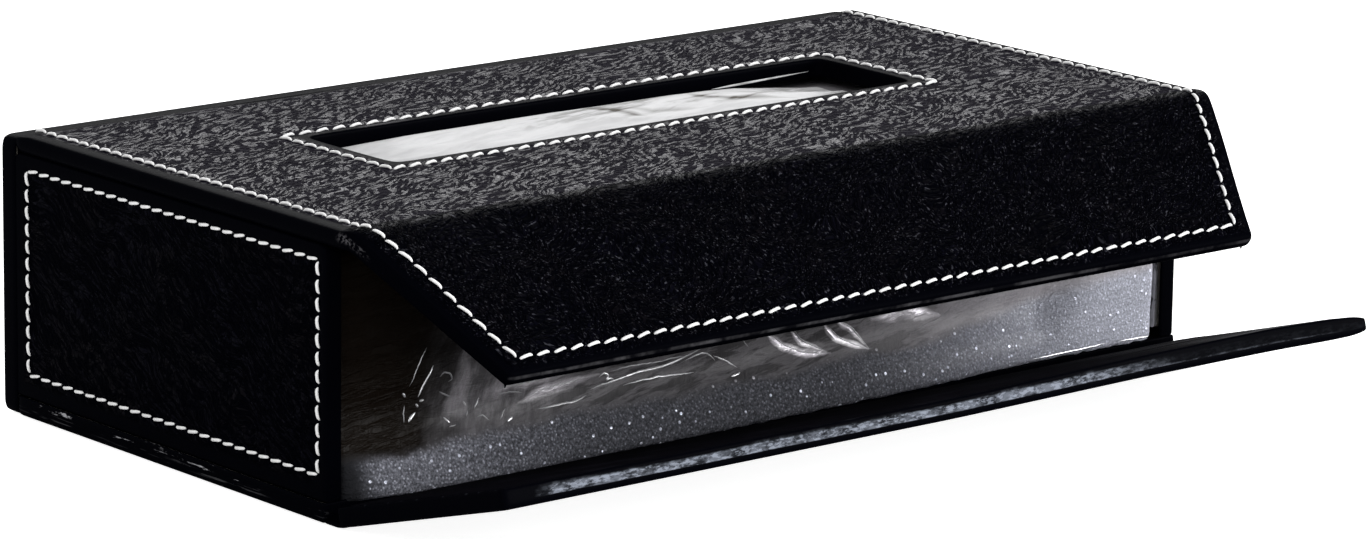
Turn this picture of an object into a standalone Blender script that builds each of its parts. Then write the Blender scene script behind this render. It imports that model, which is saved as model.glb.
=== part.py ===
"""A leatherette tissue holder for a car: a board box wrapped like a book, with a front flap that lifts
and a front wall that drops, holding a film-wrapped pack of tissues.

X runs along the box, the front faces -Y and Z is up. The origin is the centre of the base's underside.
The flap is half lifted and the wall dropped, as they rest here.
"""

import math

import bmesh
import bpy
from mathutils import Matrix, Vector

# Box, over the leather
CASE_LENGTH = 0.2400
CASE_DEPTH = 0.1210
CASE_HEIGHT = 0.0625

# Layers of a panel, from the outside in
LEATHER = 0.0010
BOARD = 0.0022
LINING = 0.0006
LAYER_GAP = 0.0003
BOARD_CLEARANCE = 0.0006

# Joints between panels
SEAM_GAP = 0.0003
EDGE_ROUND = 0.0020
CORNER_ROUND = 0.0024
LEAST_ROUND = 0.0004
RIM_DROP = 0.0008

# Tissue slot in the top panel
SLOT_LENGTH = 0.1460
SLOT_WIDTH = 0.0320
SLOT_FORWARD = 0.0015
SLOT_ROUND = 0.0030

# Front edges of the base and the end panels, set back so that the wall closes in front of them
END_SETBACK = 0.0051
END_FRONT_ROUND = 0.0034

# Flap and the leather fold that carries it
FOLD_RADIUS = 0.0050
FOLD_OVERHANG = 0.00125
FOLD_STRAIGHT = 0.0053
FLAP_REACH = 0.0400
FLAP_TAPER_ANGLE = 21.4
FLAP_REST_ANGLE = 37.5
FLAP_ROUND = 0.0040

# Front wall, hinged on a crease in the leather
WALL_REACH = 0.0566
WALL_START = 0.0008
WALL_REST_ANGLE = 16.2
WALL_ROUND = 0.0060

# Closure
MAGNET_RADIUS = 0.0060
MAGNET_DEPTH = 0.0012
KEEPER_RADIUS = 0.0070
KEEPER_DEPTH = 0.0008
MAGNET_WEB = 0.0010
CLOSURE_SPACING = 0.1400

# Tissue pack
PACK_FRONT_SETBACK = 0.0105
PACK_HEADROOM = 0.0027
PACK_GAP = 0.0003
FILM = 0.0004
PACK_ROUND = 0.0050
TEAR_OUT_LENGTH = 0.1500
TEAR_OUT_WIDTH = 0.0360
TUFT_LENGTH = 0.1380
TUFT_WIDTH = 0.0270
TUFT_EDGE = 0.0007
TUFT_RISE = 0.0014
TUFT_DIP = 0.0006

# Facets
CORNER_STEPS = 5
BEND_STEPS = 4
FOLD_STEPS = 8
DISC_SIDES = 32
TUFT_COLUMNS = 24
TUFT_ROWS = 12
TUFT_WAVES = 3
SHARP_ANGLE = 40

# How far a cutter runs past the faces it opens
OVERRUN = 0.0010

# Worked out from the sizes above
PANEL = LEATHER + BOARD + LINING + 2 * LAYER_GAP
HALF_LENGTH = CASE_LENGTH / 2
BACK = CASE_DEPTH / 2
FRONT = -CASE_DEPTH / 2
TOP_UNDERSIDE = CASE_HEIGHT - PANEL
BASE_FRONT = FRONT + END_SETBACK
BACK_PANEL_FRONT = BACK - PANEL - SEAM_GAP
FOLD_AXIS_Y = FRONT - FOLD_OVERHANG
FOLD_AXIS_Z = CASE_HEIGHT - FOLD_RADIUS
CREASE_Y = FRONT + LEATHER / 2
CREASE_Z = LEATHER / 2
FLAP_ROOT = FOLD_STRAIGHT + SEAM_GAP + LEATHER * math.sin(math.radians(FLAP_TAPER_ANGLE))
FLAP_TANGENT = FOLD_RADIUS * math.tan(math.radians(FLAP_REST_ANGLE) / 2)
FLAP_TAPER = math.tan(math.radians(FLAP_TAPER_ANGLE))
MAGNET_REACH = FLAP_REACH - LEATHER - BOARD_CLEARANCE - MAGNET_WEB - MAGNET_RADIUS
SLOT_CENTRE_Y = -SLOT_FORWARD


def clear_scene():
    for old in list(bpy.data.objects):
        bpy.data.objects.remove(old, do_unlink=True)


def collection(name):
    made = bpy.data.collections.new(name)
    bpy.context.scene.collection.children.link(made)
    return made


def material(name, colour, roughness, metallic=0):
    made = bpy.data.materials.new(name)
    made.use_nodes = True
    shader = made.node_tree.nodes["Principled BSDF"]
    shader.inputs["Base Color"].default_value = (*colour, 1)
    shader.inputs["Roughness"].default_value = roughness
    shader.inputs["Metallic"].default_value = metallic
    return made


def finished(name, bm, made_of, frame, parent=None):
    """A named object from a bmesh, placed by its panel's frame, under its hinge where it has one."""
    bmesh.ops.recalc_face_normals(bm, faces=bm.faces)
    mesh = bpy.data.meshes.new(name)
    bm.to_mesh(mesh)
    bm.free()
    mesh.shade_smooth()
    mesh.set_sharp_from_angle(angle=math.radians(SHARP_ANGLE))
    mesh.materials.append(made_of)
    made = bpy.data.objects.new(name, mesh)
    made.parent = parent
    made.matrix_local = frame
    parts.objects.link(made)
    return made


def cut(target, cutter):
    cutter.hide_render = True
    cutter.display_type = "WIRE"
    parts.objects.unlink(cutter)
    cutters.objects.link(cutter)
    boolean = target.modifiers.new("Cut by " + cutter.name, "BOOLEAN")
    boolean.operation = "DIFFERENCE"
    boolean.solver = "EXACT"
    boolean.object = cutter


def inset(corners, distances):
    """The corners of a convex outline, counterclockwise, with each edge moved in by its own distance."""
    moved = []
    for i, (x, y, radius) in enumerate(corners):
        before, after = corners[i - 1], corners[(i + 1) % len(corners)]
        lines = []
        for start, end, distance in ((before, (x, y), distances[i - 1]), ((x, y), after, distances[i])):
            along = Vector((end[0] - start[0], end[1] - start[1])).normalized()
            inwards = Vector((-along.y, along.x))
            lines.append((Vector(start[:2]) + inwards * distance, along))
        (p, a), (q, b) = lines
        step = (q - p).cross(b) / a.cross(b)
        point = p + a * step
        if radius:
            radius = max(radius - max(distances[i - 1], distances[i]), LEAST_ROUND)
        moved.append((point.x, point.y, radius))
    return moved


def rounded(corners):
    """The points of an outline, a list for each corner: an arc, or just the corner for a radius of 0."""
    arcs = []
    for i, (x, y, radius) in enumerate(corners):
        here = Vector((x, y))
        if radius == 0:
            arcs.append([here])
            continue
        to_last = (Vector(corners[i - 1][:2]) - here).normalized()
        to_next = (Vector(corners[(i + 1) % len(corners)][:2]) - here).normalized()
        half = to_last.angle(to_next) / 2
        centre = here + (to_last + to_next).normalized() * (radius / math.sin(half))
        start = here + to_last * (radius / math.tan(half)) - centre
        sweep = math.pi - 2 * half
        arc = []
        for step in range(CORNER_STEPS + 1):
            turned = start.copy()
            turned.rotate(Matrix.Rotation(sweep * step / CORNER_STEPS, 2))
            arc.append(centre + turned)
        arcs.append(arc)
    return arcs


def ring(bm, arcs, height):
    return [bm.verts.new((point.x, point.y, height)) for arc in arcs for point in arc]


def after(items):
    """Each item's next one, round a ring."""
    return items[1:] + items[:1]


def fill(bm, outline, hole=None):
    """A flat face inside a ring of vertices, and round a second ring where there is a hole."""
    if not hole:
        bm.faces.new(outline)
        return
    edges = []
    for corners in (outline, hole):
        for pair in zip(corners, after(corners)):
            edges.append(bm.edges.get(pair) or bm.edges.new(pair))
    bmesh.ops.triangle_fill(bm, use_beauty=True, edges=edges)


def turned_leather(bm, corners, turned, inwards):
    """Leather from its raised edge down and round its bend; gives the ring where its flat face begins.

    An edge that isn't turned stays open. inwards is 1 for an outline and -1 for a hole.
    """
    stations = [(0, PANEL)]
    for step in range(BEND_STEPS + 1):
        angle = math.radians(90) * step / BEND_STEPS
        stations.append((EDGE_ROUND * (1 - math.cos(angle)), EDGE_ROUND * (1 - math.sin(angle))))
    above = None
    for distance, height in stations:
        arcs = rounded(inset(corners, [inwards * distance if edge else 0 for edge in turned]))
        below = ring(bm, arcs, height)
        closed = []
        for arc, edge in zip(arcs, turned):
            closed += [True] * (len(arc) - 1) + [edge]
        if above:
            for a, b, c, d, wanted in zip(above, after(above), after(below), below, closed):
                if wanted:
                    bm.faces.new((a, b, c, d))
        above = below
    return above


class Panel:
    """A board wrapped in leather: its outer face at z = 0 of its frame, its inner face at z = PANEL.

    corners holds (x, y, radius) counterclockwise, and turned says which edges, each from its corner to the
    next, have leather turned up over the board. The other edges end in a seam or a fold.
    """

    def __init__(self, name, corners, turned, frame, parent=None, hole=None):
        self.name, self.corners, self.turned = name, corners, turned
        self.frame, self.parent, self.hole = frame, parent, hole

    def cover(self, leather):
        bm = bmesh.new()
        outline = turned_leather(bm, self.corners, self.turned, 1)
        hole = self.hole and turned_leather(bm, self.hole, (True,) * len(self.hole), -1)
        fill(bm, outline, hole)
        made = finished(self.name + "_cover", bm, leather, self.frame, self.parent)
        face_outwards(made)
        shell = made.modifiers.new("Leather", "SOLIDIFY")
        shell.thickness = LEATHER
        shell.offset = -1
        shell.use_even_offset = True
        return made

    def layer(self, suffix, made_of, start, thickness):
        """A flat layer inside the turned leather."""
        bm = bmesh.new()
        reach = LEATHER + BOARD_CLEARANCE
        within = inset(self.corners, [reach if edge else 0 for edge in self.turned])
        outline = ring(bm, rounded(within), start)
        hole = self.hole and ring(bm, rounded(inset(self.hole, [-reach] * len(self.hole))), start)
        fill(bm, outline, hole)
        raised = bmesh.ops.extrude_face_region(bm, geom=list(bm.faces))["geom"]
        top = [item for item in raised if isinstance(item, bmesh.types.BMVert)]
        bmesh.ops.translate(bm, verts=top, vec=(0, 0, thickness))
        return finished(self.name + suffix, bm, made_of, self.frame, self.parent)

    def board(self, made_of):
        return self.layer("_board", made_of, LEATHER + LAYER_GAP, BOARD)

    def lining(self, made_of):
        return self.layer("_lining", made_of, LEATHER + BOARD + 2 * LAYER_GAP, LINING)


def face_outwards(made):
    """Turns an open cover's faces so that the flat one looks out of the box, along -Z of its panel."""
    flat = max(made.data.polygons, key=lambda face: face.area)
    if flat.normal.z > 0:
        made.data.flip_normals()


def block(name, low, high, made_of, round_edges=0):
    """A box between two corners, with rounded edges where a radius is given."""
    bm = bmesh.new()
    size = Vector(high) - Vector(low)
    bmesh.ops.create_cube(bm, size=1)
    bmesh.ops.scale(bm, verts=bm.verts, vec=size)
    bmesh.ops.translate(bm, verts=bm.verts, vec=(Vector(low) + Vector(high)) / 2)
    if round_edges:
        bmesh.ops.bevel(
            bm, geom=bm.edges, offset=round_edges, segments=BEND_STEPS, profile=0.5, affect="EDGES"
        )
    return finished(name, bm, made_of, Matrix.Identity(4))


def disc(name, centre, radius, depth, made_of, frame, parent):
    """A round plate whose outer face is at the given centre of its panel's frame."""
    bm = bmesh.new()
    bmesh.ops.create_cone(
        bm, cap_ends=True, segments=DISC_SIDES, radius1=radius, radius2=radius, depth=depth
    )
    bmesh.ops.translate(bm, verts=bm.verts, vec=Vector(centre) + Vector((0, 0, depth / 2)))
    return finished(name, bm, made_of, frame, parent)


def hinge(name, y, z, turn):
    """An empty on a hinge's axis, turned so that the flap's or wall's own frame is square to its panel."""
    made = bpy.data.objects.new(name, None)
    made.matrix_world = Matrix.Translation((0, y, z)) @ Matrix.Rotation(turn, 4, "X")
    parts.objects.link(made)
    return made


def rectangle(left, right, low, high, radii):
    """Corners counterclockwise from the lower left, with one radius each."""
    places = ((left, low), (right, low), (right, high), (left, high))
    return [(x, y, radius) for (x, y), radius in zip(places, radii)]


def base_panel():
    corners = rectangle(-HALF_LENGTH, HALF_LENGTH, BASE_FRONT, BACK_PANEL_FRONT, (CORNER_ROUND,) * 4)
    return Panel("base", corners, (True,) * 4, Matrix.Identity(4))


def back_panel():
    corners = rectangle(-HALF_LENGTH, HALF_LENGTH, 0, CASE_HEIGHT - RIM_DROP, (CORNER_ROUND,) * 4)
    frame = Matrix.Translation((0, BACK, 0)) @ Matrix.Rotation(math.radians(90), 4, "X")
    return Panel("back", corners, (True,) * 4, frame)


def top_panel():
    front, back = -FOLD_AXIS_Y - SEAM_GAP, -BACK_PANEL_FRONT
    corners = rectangle(-HALF_LENGTH, HALF_LENGTH, back, front, (CORNER_ROUND, CORNER_ROUND, 0, 0))
    half_length, half_width = SLOT_LENGTH / 2, SLOT_WIDTH / 2
    low, high = SLOT_FORWARD - half_width, SLOT_FORWARD + half_width
    slot = rectangle(-half_length, half_length, low, high, (SLOT_ROUND,) * 4)
    frame = Matrix.Translation((0, 0, CASE_HEIGHT)) @ Matrix.Rotation(math.radians(180), 4, "X")
    return Panel("top", corners, (True, True, False, True), frame, hole=slot)


def end_panel(side, sign):
    """An end panel between the base and the top; sign is -1 for the left one and 1 for the right."""
    low, high = PANEL + SEAM_GAP, TOP_UNDERSIDE - SEAM_GAP
    front, back = BASE_FRONT, BACK_PANEL_FRONT
    radii = (CORNER_ROUND, CORNER_ROUND, CORNER_ROUND, END_FRONT_ROUND)
    if sign < 0:
        corners = rectangle(front, back, low, high, radii)
    else:
        corners = rectangle(-back, -front, low, high, (radii[1], radii[0], radii[3], radii[2]))
    columns = Matrix(((0, 0, -sign), (-sign, 0, 0), (0, 1, 0))).to_4x4()
    frame = Matrix.Translation((sign * HALF_LENGTH, 0, 0)) @ columns
    return Panel(side + "_end", corners, (True,) * 4, frame)


def flap_half_width(reach):
    return HALF_LENGTH - FLAP_TAPER * (reach + FLAP_TANGENT)


def flap_panel(axis):
    root, free = flap_half_width(FLAP_ROOT), flap_half_width(FLAP_REACH)
    corners = [
        (-root, FLAP_ROOT, 0),
        (root, FLAP_ROOT, 0),
        (free, FLAP_REACH, FLAP_ROUND),
        (-free, FLAP_REACH, FLAP_ROUND),
    ]
    return Panel("flap", corners, (False, True, True, True), Matrix.Translation((0, 0, -FOLD_RADIUS)), axis)


def wall_panel(axis):
    corners = rectangle(
        -HALF_LENGTH, HALF_LENGTH, -WALL_REACH, -WALL_START, (WALL_ROUND, WALL_ROUND, 0, 0)
    )
    frame = Matrix.Translation((0, 0, -CREASE_Z))
    return Panel("front_wall", corners, (True, True, False, True), frame, axis)


def wall_fold(leather):
    """The strip of outer leather that runs on from the base to the crease, under the shut wall's foot."""
    low = (-HALF_LENGTH, CREASE_Y + SEAM_GAP, 0)
    high = (HALF_LENGTH, BASE_FRONT - SEAM_GAP, LEATHER)
    return block("front_wall_fold", low, high, leather)


def fold_section(half_width, outer, inner):
    """The fold's cross-section at one station: a strip as thick as a panel, with its outer edges rounded."""
    side = []
    for step in range(BEND_STEPS + 1):
        angle = math.radians(90) * step / BEND_STEPS
        across = half_width - EDGE_ROUND * (1 - math.sin(angle))
        side.append((across, outer - EDGE_ROUND * (1 - math.cos(angle))))
    points = [(half_width, inner)] + side[::-1]
    return points + [(-across, height) for across, height in reversed(points)]


def flap_fold(leather):
    """The soft fold between top and flap: round its bend, then straight on to the flap's board."""
    stations = []
    rest = math.radians(FLAP_REST_ANGLE)
    for step in range(FOLD_STEPS + 1):
        stations.append((rest * step / FOLD_STEPS, 0))
    stations.append((rest, FOLD_STRAIGHT))
    bm = bmesh.new()
    rings = []
    for angle, straight in stations:
        width = HALF_LENGTH - FLAP_TAPER * FLAP_TANGENT * angle / rest
        if straight:
            width = flap_half_width(straight)
        out = Vector((0, -math.sin(angle), math.cos(angle)))
        along = Vector((0, -math.cos(angle), -math.sin(angle)))
        ring = []
        for across, height in fold_section(width, FOLD_RADIUS, FOLD_RADIUS - PANEL):
            ring.append(bm.verts.new(Vector((across, 0, 0)) + out * height + along * straight))
        rings.append(ring)
    for near, far in zip(rings, rings[1:]):
        for i in range(len(near)):
            j = (i + 1) % len(near)
            bm.faces.new((near[i], near[j], far[j], far[i]))
    bm.faces.new(rings[0])
    bm.faces.new(rings[-1])
    return finished("flap_fold", bm, leather, Matrix.Translation((0, FOLD_AXIS_Y, FOLD_AXIS_Z)))


def fit_magnets(panel, board, metal):
    """Magnets let into the flap's board from its inner side, under the lining."""
    for side, x in (("left", -CLOSURE_SPACING / 2), ("right", CLOSURE_SPACING / 2)):
        top = LEATHER + LAYER_GAP + BOARD
        centre = (x, MAGNET_REACH, top - MAGNET_DEPTH)
        disc("flap_magnet_" + side, centre, MAGNET_RADIUS, MAGNET_DEPTH, metal, panel.frame, panel.parent)
        centre = (x, MAGNET_REACH, top - MAGNET_DEPTH - LAYER_GAP)
        depth = MAGNET_DEPTH + LAYER_GAP + OVERRUN
        radius = MAGNET_RADIUS + LAYER_GAP
        cut(board, disc("magnet_seat_" + side, centre, radius, depth, metal, panel.frame, panel.parent))


def fit_keepers(panel, board, metal):
    """Steel keepers let into the wall's board from its outer side, where the magnets meet them when shut."""
    height = FOLD_AXIS_Z - MAGNET_REACH - CREASE_Z
    for side, x in (("left", -CLOSURE_SPACING / 2), ("right", CLOSURE_SPACING / 2)):
        outer = LEATHER + LAYER_GAP
        centre = (x, -height, outer)
        disc("wall_keeper_" + side, centre, KEEPER_RADIUS, KEEPER_DEPTH, metal, panel.frame, panel.parent)
        centre = (x, -height, outer - OVERRUN)
        depth = OVERRUN + KEEPER_DEPTH + LAYER_GAP
        radius = KEEPER_RADIUS + LAYER_GAP
        cut(board, disc("keeper_seat_" + side, centre, radius, depth, metal, panel.frame, panel.parent))


def tissue_pack(paper, film):
    """The folded stack, the film round it with its tear-out, and the tissue drawn up through both."""
    side = HALF_LENGTH - PANEL - PACK_GAP
    low = Vector((-side, FRONT + PACK_FRONT_SETBACK, PANEL + PACK_GAP))
    high = Vector((side, BACK - PANEL - PACK_GAP, TOP_UNDERSIDE - PACK_HEADROOM))
    skin = Vector((FILM, FILM, FILM))
    gap = Vector((PACK_GAP, PACK_GAP, PACK_GAP))
    wrap = block("pack_film", low, high, film, PACK_ROUND)
    cut(wrap, block("pack_hollow", low + skin, high - skin, film, PACK_ROUND - FILM))
    half = Vector((TEAR_OUT_LENGTH / 2, TEAR_OUT_WIDTH / 2, 0))
    centre = Vector((0, SLOT_CENTRE_Y, high.z))
    rise = Vector((0, 0, OVERRUN + FILM))
    cut(wrap, block("tear_out", centre - half - rise, centre + half + rise, film))
    inner = PACK_ROUND - FILM - PACK_GAP
    block("tissue_stack", low + skin + gap, high - skin - gap, paper, inner)
    tuft(Vector((0, SLOT_CENTRE_Y, high.z - FILM)), paper)


def tuft(seat, paper):
    """The top tissue, drawn up into soft ridges along the slot; flat below, where it lies on the stack."""
    bm = bmesh.new()
    bmesh.ops.create_grid(bm, x_segments=TUFT_COLUMNS, y_segments=TUFT_ROWS, size=1)
    raised = bmesh.ops.extrude_face_region(bm, geom=list(bm.faces))["geom"]
    for vert in [item for item in raised if isinstance(item, bmesh.types.BMVert)]:
        crown = (1 - vert.co.x**4) * (1 - vert.co.y**2)
        wave = (1 + math.cos(math.tau * (TUFT_WAVES * vert.co.x + vert.co.y / 2))) / 2
        vert.co.z = TUFT_EDGE + crown * (TUFT_RISE - wave * TUFT_DIP)
    bmesh.ops.scale(bm, verts=bm.verts, vec=(TUFT_LENGTH / 2, TUFT_WIDTH / 2, 1))
    return finished("top_tissue", bm, paper, Matrix.Translation(seat))


def build():
    black = material("leather, black", (0.018, 0.017, 0.021), 0.42)
    grey_board = material("board, grey", (0.30, 0.28, 0.25), 0.90)
    cloth = material("lining, black", (0.022, 0.021, 0.023), 0.85)
    steel = material("steel", (0.62, 0.62, 0.60), 0.35, 1)
    tissue = material("tissue, white", (0.86, 0.86, 0.85), 0.95)
    film = material("film, clear", (0.70, 0.70, 0.72), 0.15)

    for panel in (base_panel(), back_panel(), top_panel(), end_panel("left", -1), end_panel("right", 1)):
        panel.cover(black)
        panel.board(grey_board)
        panel.lining(cloth)
    flap_fold(black)
    wall_fold(black)

    half_turn = math.radians(180)
    flap_axis = hinge("flap_hinge", FOLD_AXIS_Y, FOLD_AXIS_Z, half_turn + math.radians(FLAP_REST_ANGLE))
    flap = flap_panel(flap_axis)
    flap.cover(black)
    flap_board = flap.board(grey_board)
    flap.lining(cloth)
    fit_magnets(flap, flap_board, steel)

    wall_axis = hinge("front_wall_hinge", CREASE_Y, CREASE_Z, -math.radians(WALL_REST_ANGLE))
    wall = wall_panel(wall_axis)
    wall.cover(black)
    wall_board = wall.board(grey_board)
    wall.lining(cloth)
    fit_keepers(wall, wall_board, steel)

    tissue_pack(tissue, film)


clear_scene()
parts = collection("car_tissue_holder")
cutters = collection("cutters")
build()
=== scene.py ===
"""A black leatherette tissue holder for a car, photographed half open on a pale table.

The layout lists are in millimetres. Everything that is placed in the scene is in metres, in the frame's axes.
"""

import math

import bmesh
import bpy
import numpy as np
from mathutils import Matrix, Vector, noise
from mathutils.bvhtree import BVHTree


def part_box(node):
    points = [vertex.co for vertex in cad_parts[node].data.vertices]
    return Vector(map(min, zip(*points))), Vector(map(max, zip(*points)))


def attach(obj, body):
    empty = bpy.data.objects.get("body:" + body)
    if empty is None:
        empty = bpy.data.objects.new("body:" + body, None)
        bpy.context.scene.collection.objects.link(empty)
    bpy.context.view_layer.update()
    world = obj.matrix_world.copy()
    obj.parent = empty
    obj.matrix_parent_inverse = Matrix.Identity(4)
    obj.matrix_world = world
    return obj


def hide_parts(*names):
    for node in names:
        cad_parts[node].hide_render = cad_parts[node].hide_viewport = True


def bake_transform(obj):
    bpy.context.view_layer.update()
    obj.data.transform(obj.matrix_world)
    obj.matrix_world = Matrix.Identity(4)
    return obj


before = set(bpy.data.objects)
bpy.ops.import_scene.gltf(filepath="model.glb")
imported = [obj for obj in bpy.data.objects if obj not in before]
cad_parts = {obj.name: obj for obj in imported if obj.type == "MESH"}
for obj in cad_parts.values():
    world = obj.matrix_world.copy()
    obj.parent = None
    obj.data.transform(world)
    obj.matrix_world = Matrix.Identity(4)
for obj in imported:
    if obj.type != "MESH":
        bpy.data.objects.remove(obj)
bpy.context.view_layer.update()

MM = 0.001

# The box over its leather
HALF_LENGTH = 120.0
BACK = 60.5
HEIGHT = 62.5
PANEL = 4.4
LEATHER = 0.9
BACK_PANEL_FRONT = 55.8
BASE_FRONT = -55.4
END_LOW, END_HIGH = 4.7, 57.8
BACK_LEATHER_TOP = 61.1

# The wrap over top, fold and flap, laid out flat: x along the box, s from the fold's start
FOLD_Y, FOLD_Z, FOLD_RADIUS = -61.75, 57.5, 5.0
FLAP_DROP = math.radians(37.5)
FOLD_LENGTH = FOLD_RADIUS * FLAP_DROP
FLAP_REACH = 40.0
TAPER = math.tan(math.radians(21.4))
TANGENT = FOLD_RADIUS * math.tan(FLAP_DROP / 2)
TOP_BACK = FOLD_Y - BACK_PANEL_FRONT
FREE_EDGE = FOLD_LENGTH + FLAP_REACH
SIDE_SEAM = 4.87
FREE_SEAM = 4.0

# Tissue slot, in the same layout
SLOT = (-73.0, 73.0, FOLD_Y - 14.5, FOLD_Y + 17.5)
SLOT_SEAM = 3.8
SLOT_ROUND = 3.0
HEM = (0.0, 0.4, 1.1, 2.5, SLOT_SEAM, 5.2)
HEM_LIP = 2.2

# Front wall, from its crease
CREASE_Y, CREASE_Z = -60.0, 0.5
WALL_RISE = math.radians(16.2)
WALL_REACH = 56.6
WALL_START = 0.8

# Stitches
THREAD = 0.72
FOLD_SEAM_START, FOLD_SEAM_END = -4.1, 8.8
END_SEAM_FRONT, END_SEAM_BACK = -53.35, 50.8
END_SEAM_LOW, END_SEAM_HIGH = 9.86, 54.9
STITCH_SHARE = 0.84
STITCH_SLANT = math.radians(6.5)

# The leather's grain, in cells per metre and degrees, and its colours, among them a painted glint and the
# top's painted sheen
GRAIN_CELLS = 1150.0
GRAIN_TURN = -30
LEATHER_SHEEN = 0.0008
SEALER_IOR = 1.16
LEATHER_DARK = (0.0007, 0.0008, 0.0018, 1)
LEATHER_BLUE = (0.0021, 0.0019, 0.0066, 1)
LEATHER_BROWN = (0.0040, 0.0030, 0.0045, 1)
LEATHER_PAINTED_GLINT = (0.0580, 0.0590, 0.0720, 1)
# The top's painted sheen, lighter and more violet than the rest of the leather
TOP_PAINTED_SHEEN_DARK = (0.0042, 0.0032, 0.0078, 1)
TOP_PAINTED_SHEEN_VIOLET = (0.0160, 0.0103, 0.0240, 1)
WALL_SCUFF = (0.260, 0.285, 0.340, 1)

# The fitted camera: angles in degrees, its distance from a point over the box's middle, and its shift
VIEW_AZIMUTH, VIEW_RISE, VIEW_ROLL = -40.053, 13.252, 0.811
VIEW_CENTRE = (0, 0, 30)
VIEW_DISTANCE = 1387.02
VIEW_SHIFT = (16.041, -3.988)
FOCAL_PIXELS, PHOTO_WIDTH = 6281.2, 1366
SENSOR_WIDTH = 36.0


def limited(value, most=1):
    return min(max(value, 0), most)


def between(value, places, heights):
    """The height at a value, on the line through the heights at the places."""
    return float(np.interp(value, places, heights))


def lumps(*place):
    return noise.noise(Vector(place))


def linked(name, data):
    """A new object in the scene."""
    made = bpy.data.objects.new(name, data)
    bpy.context.scene.collection.objects.link(made)
    return made


# Shader sockets with arithmetic


class Shade:
    """A socket of a material's node tree, on which Python's operators make Math nodes."""

    def __init__(self, tree, socket):
        self.tree, self.socket = tree, socket

    def math(self, operation, *others, clamp=False):
        return make(self.tree, "ShaderNodeMath", [self, *others], operation=operation, use_clamp=clamp)

    def __add__(self, other):
        return self.math("ADD", other)

    def __radd__(self, other):
        return self.math("ADD", other)

    def __sub__(self, other):
        return self.math("SUBTRACT", other)

    def __rsub__(self, other):
        return make(self.tree, "ShaderNodeMath", [other, self], operation="SUBTRACT")

    def __mul__(self, other):
        return self.math("MULTIPLY", other)

    def __rmul__(self, other):
        return self.math("MULTIPLY", other)

    def __pow__(self, other):
        return self.math("POWER", other)

    def clamped(self):
        return self.math("ADD", 0.0, clamp=True)

    def ramp(self, low, high, start=0.0, end=1.0):
        """Goes smoothly from start to end as the value goes from low to high."""
        values = [self, low, high, start, end]
        return make(self.tree, "ShaderNodeMapRange", values, interpolation_type="SMOOTHSTEP")


def make(tree, kind, values=(), output=0, **settings):
    """A node of a type, with its settings, then the values or links of its sockets; gives one output."""
    node = tree.nodes.new(kind)
    for key, value in settings.items():
        setattr(node, key, value)
    pairs = values.items() if isinstance(values, dict) else enumerate(values)
    for key, value in pairs:
        if isinstance(value, Shade):
            tree.links.new(value.socket, node.inputs[key])
        elif value is not None:
            node.inputs[key].default_value = value
    return Shade(tree, node.outputs[output])


class Finish:
    """A Principled material that is built up from its sockets."""

    def __init__(self, name, **plain):
        self.material = bpy.data.materials.new(name)
        self.material.use_nodes = True
        self.tree = self.material.node_tree
        self.shader = self.tree.nodes["Principled BSDF"]
        for key, value in plain.items():
            self.set(key.replace("_", " "), value)

    def set(self, socket, value):
        if isinstance(value, Shade):
            self.tree.links.new(value.socket, self.shader.inputs[socket])
        else:
            self.shader.inputs[socket].default_value = value

    def node(self, kind, values=(), output=0, **settings):
        return make(self.tree, kind, values, output, **settings)

    def place(self):
        return self.node("ShaderNodeTexCoord", output="Object")

    def millimetres(self, where, axes):
        """The coordinates along the axes, one value for each."""
        return [self.node("ShaderNodeSeparateXYZ", [where], output=axis) * 1000 for axis in axes]

    def stored(self, name, output="Fac"):
        return self.node("ShaderNodeAttribute", output=output, attribute_name=name)

    def noise(self, where, scale, detail=4.0, roughness=0.55, output="Fac"):
        values = {"Vector": where, "Scale": scale, "Detail": detail, "Roughness": roughness}
        return self.node("ShaderNodeTexNoise", values, output=output)

    def cells(self, where, scale, feature="F1", output="Distance", randomness=1.0):
        values = {"Vector": where, "Scale": scale, "Randomness": randomness}
        return self.node("ShaderNodeTexVoronoi", values, output=output, feature=feature)

    def stretched(self, where, scale, turn=0.0):
        return self.node("ShaderNodeMapping", {"Vector": where, "Scale": scale, "Rotation": (0, 0, turn)})

    def drawn_out(self, where, length, turn):
        """The coordinates for a pattern that is longer in one direction of the layout's plane."""
        values = {"Vector": where, "Scale": (length, 1, 1), "Rotation": (0, 0, math.radians(turn))}
        return self.node("ShaderNodeMapping", values, vector_type="TEXTURE")

    def shifted(self, where, by, amount):
        """The coordinates, pushed about by a colour of noise."""
        centred = self.node("ShaderNodeVectorMath", [by, (0.5, 0.5, 0.5)], operation="SUBTRACT")
        scaled = self.node("ShaderNodeVectorMath", {0: centred, "Scale": amount}, operation="SCALE")
        return self.node("ShaderNodeVectorMath", [where, scaled], operation="ADD")

    def mix(self, factor, first, second):
        return self.node("ShaderNodeMix", {"Factor": factor, 6: first, 7: second}, output=2, data_type="RGBA")

    def bump(self, height, strength, distance, below=None):
        values = {"Height": height, "Strength": strength, "Distance": distance}
        if below:
            values["Normal"] = below
        return self.node("ShaderNodeBump", values, output="Normal")


# Finishes


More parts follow.
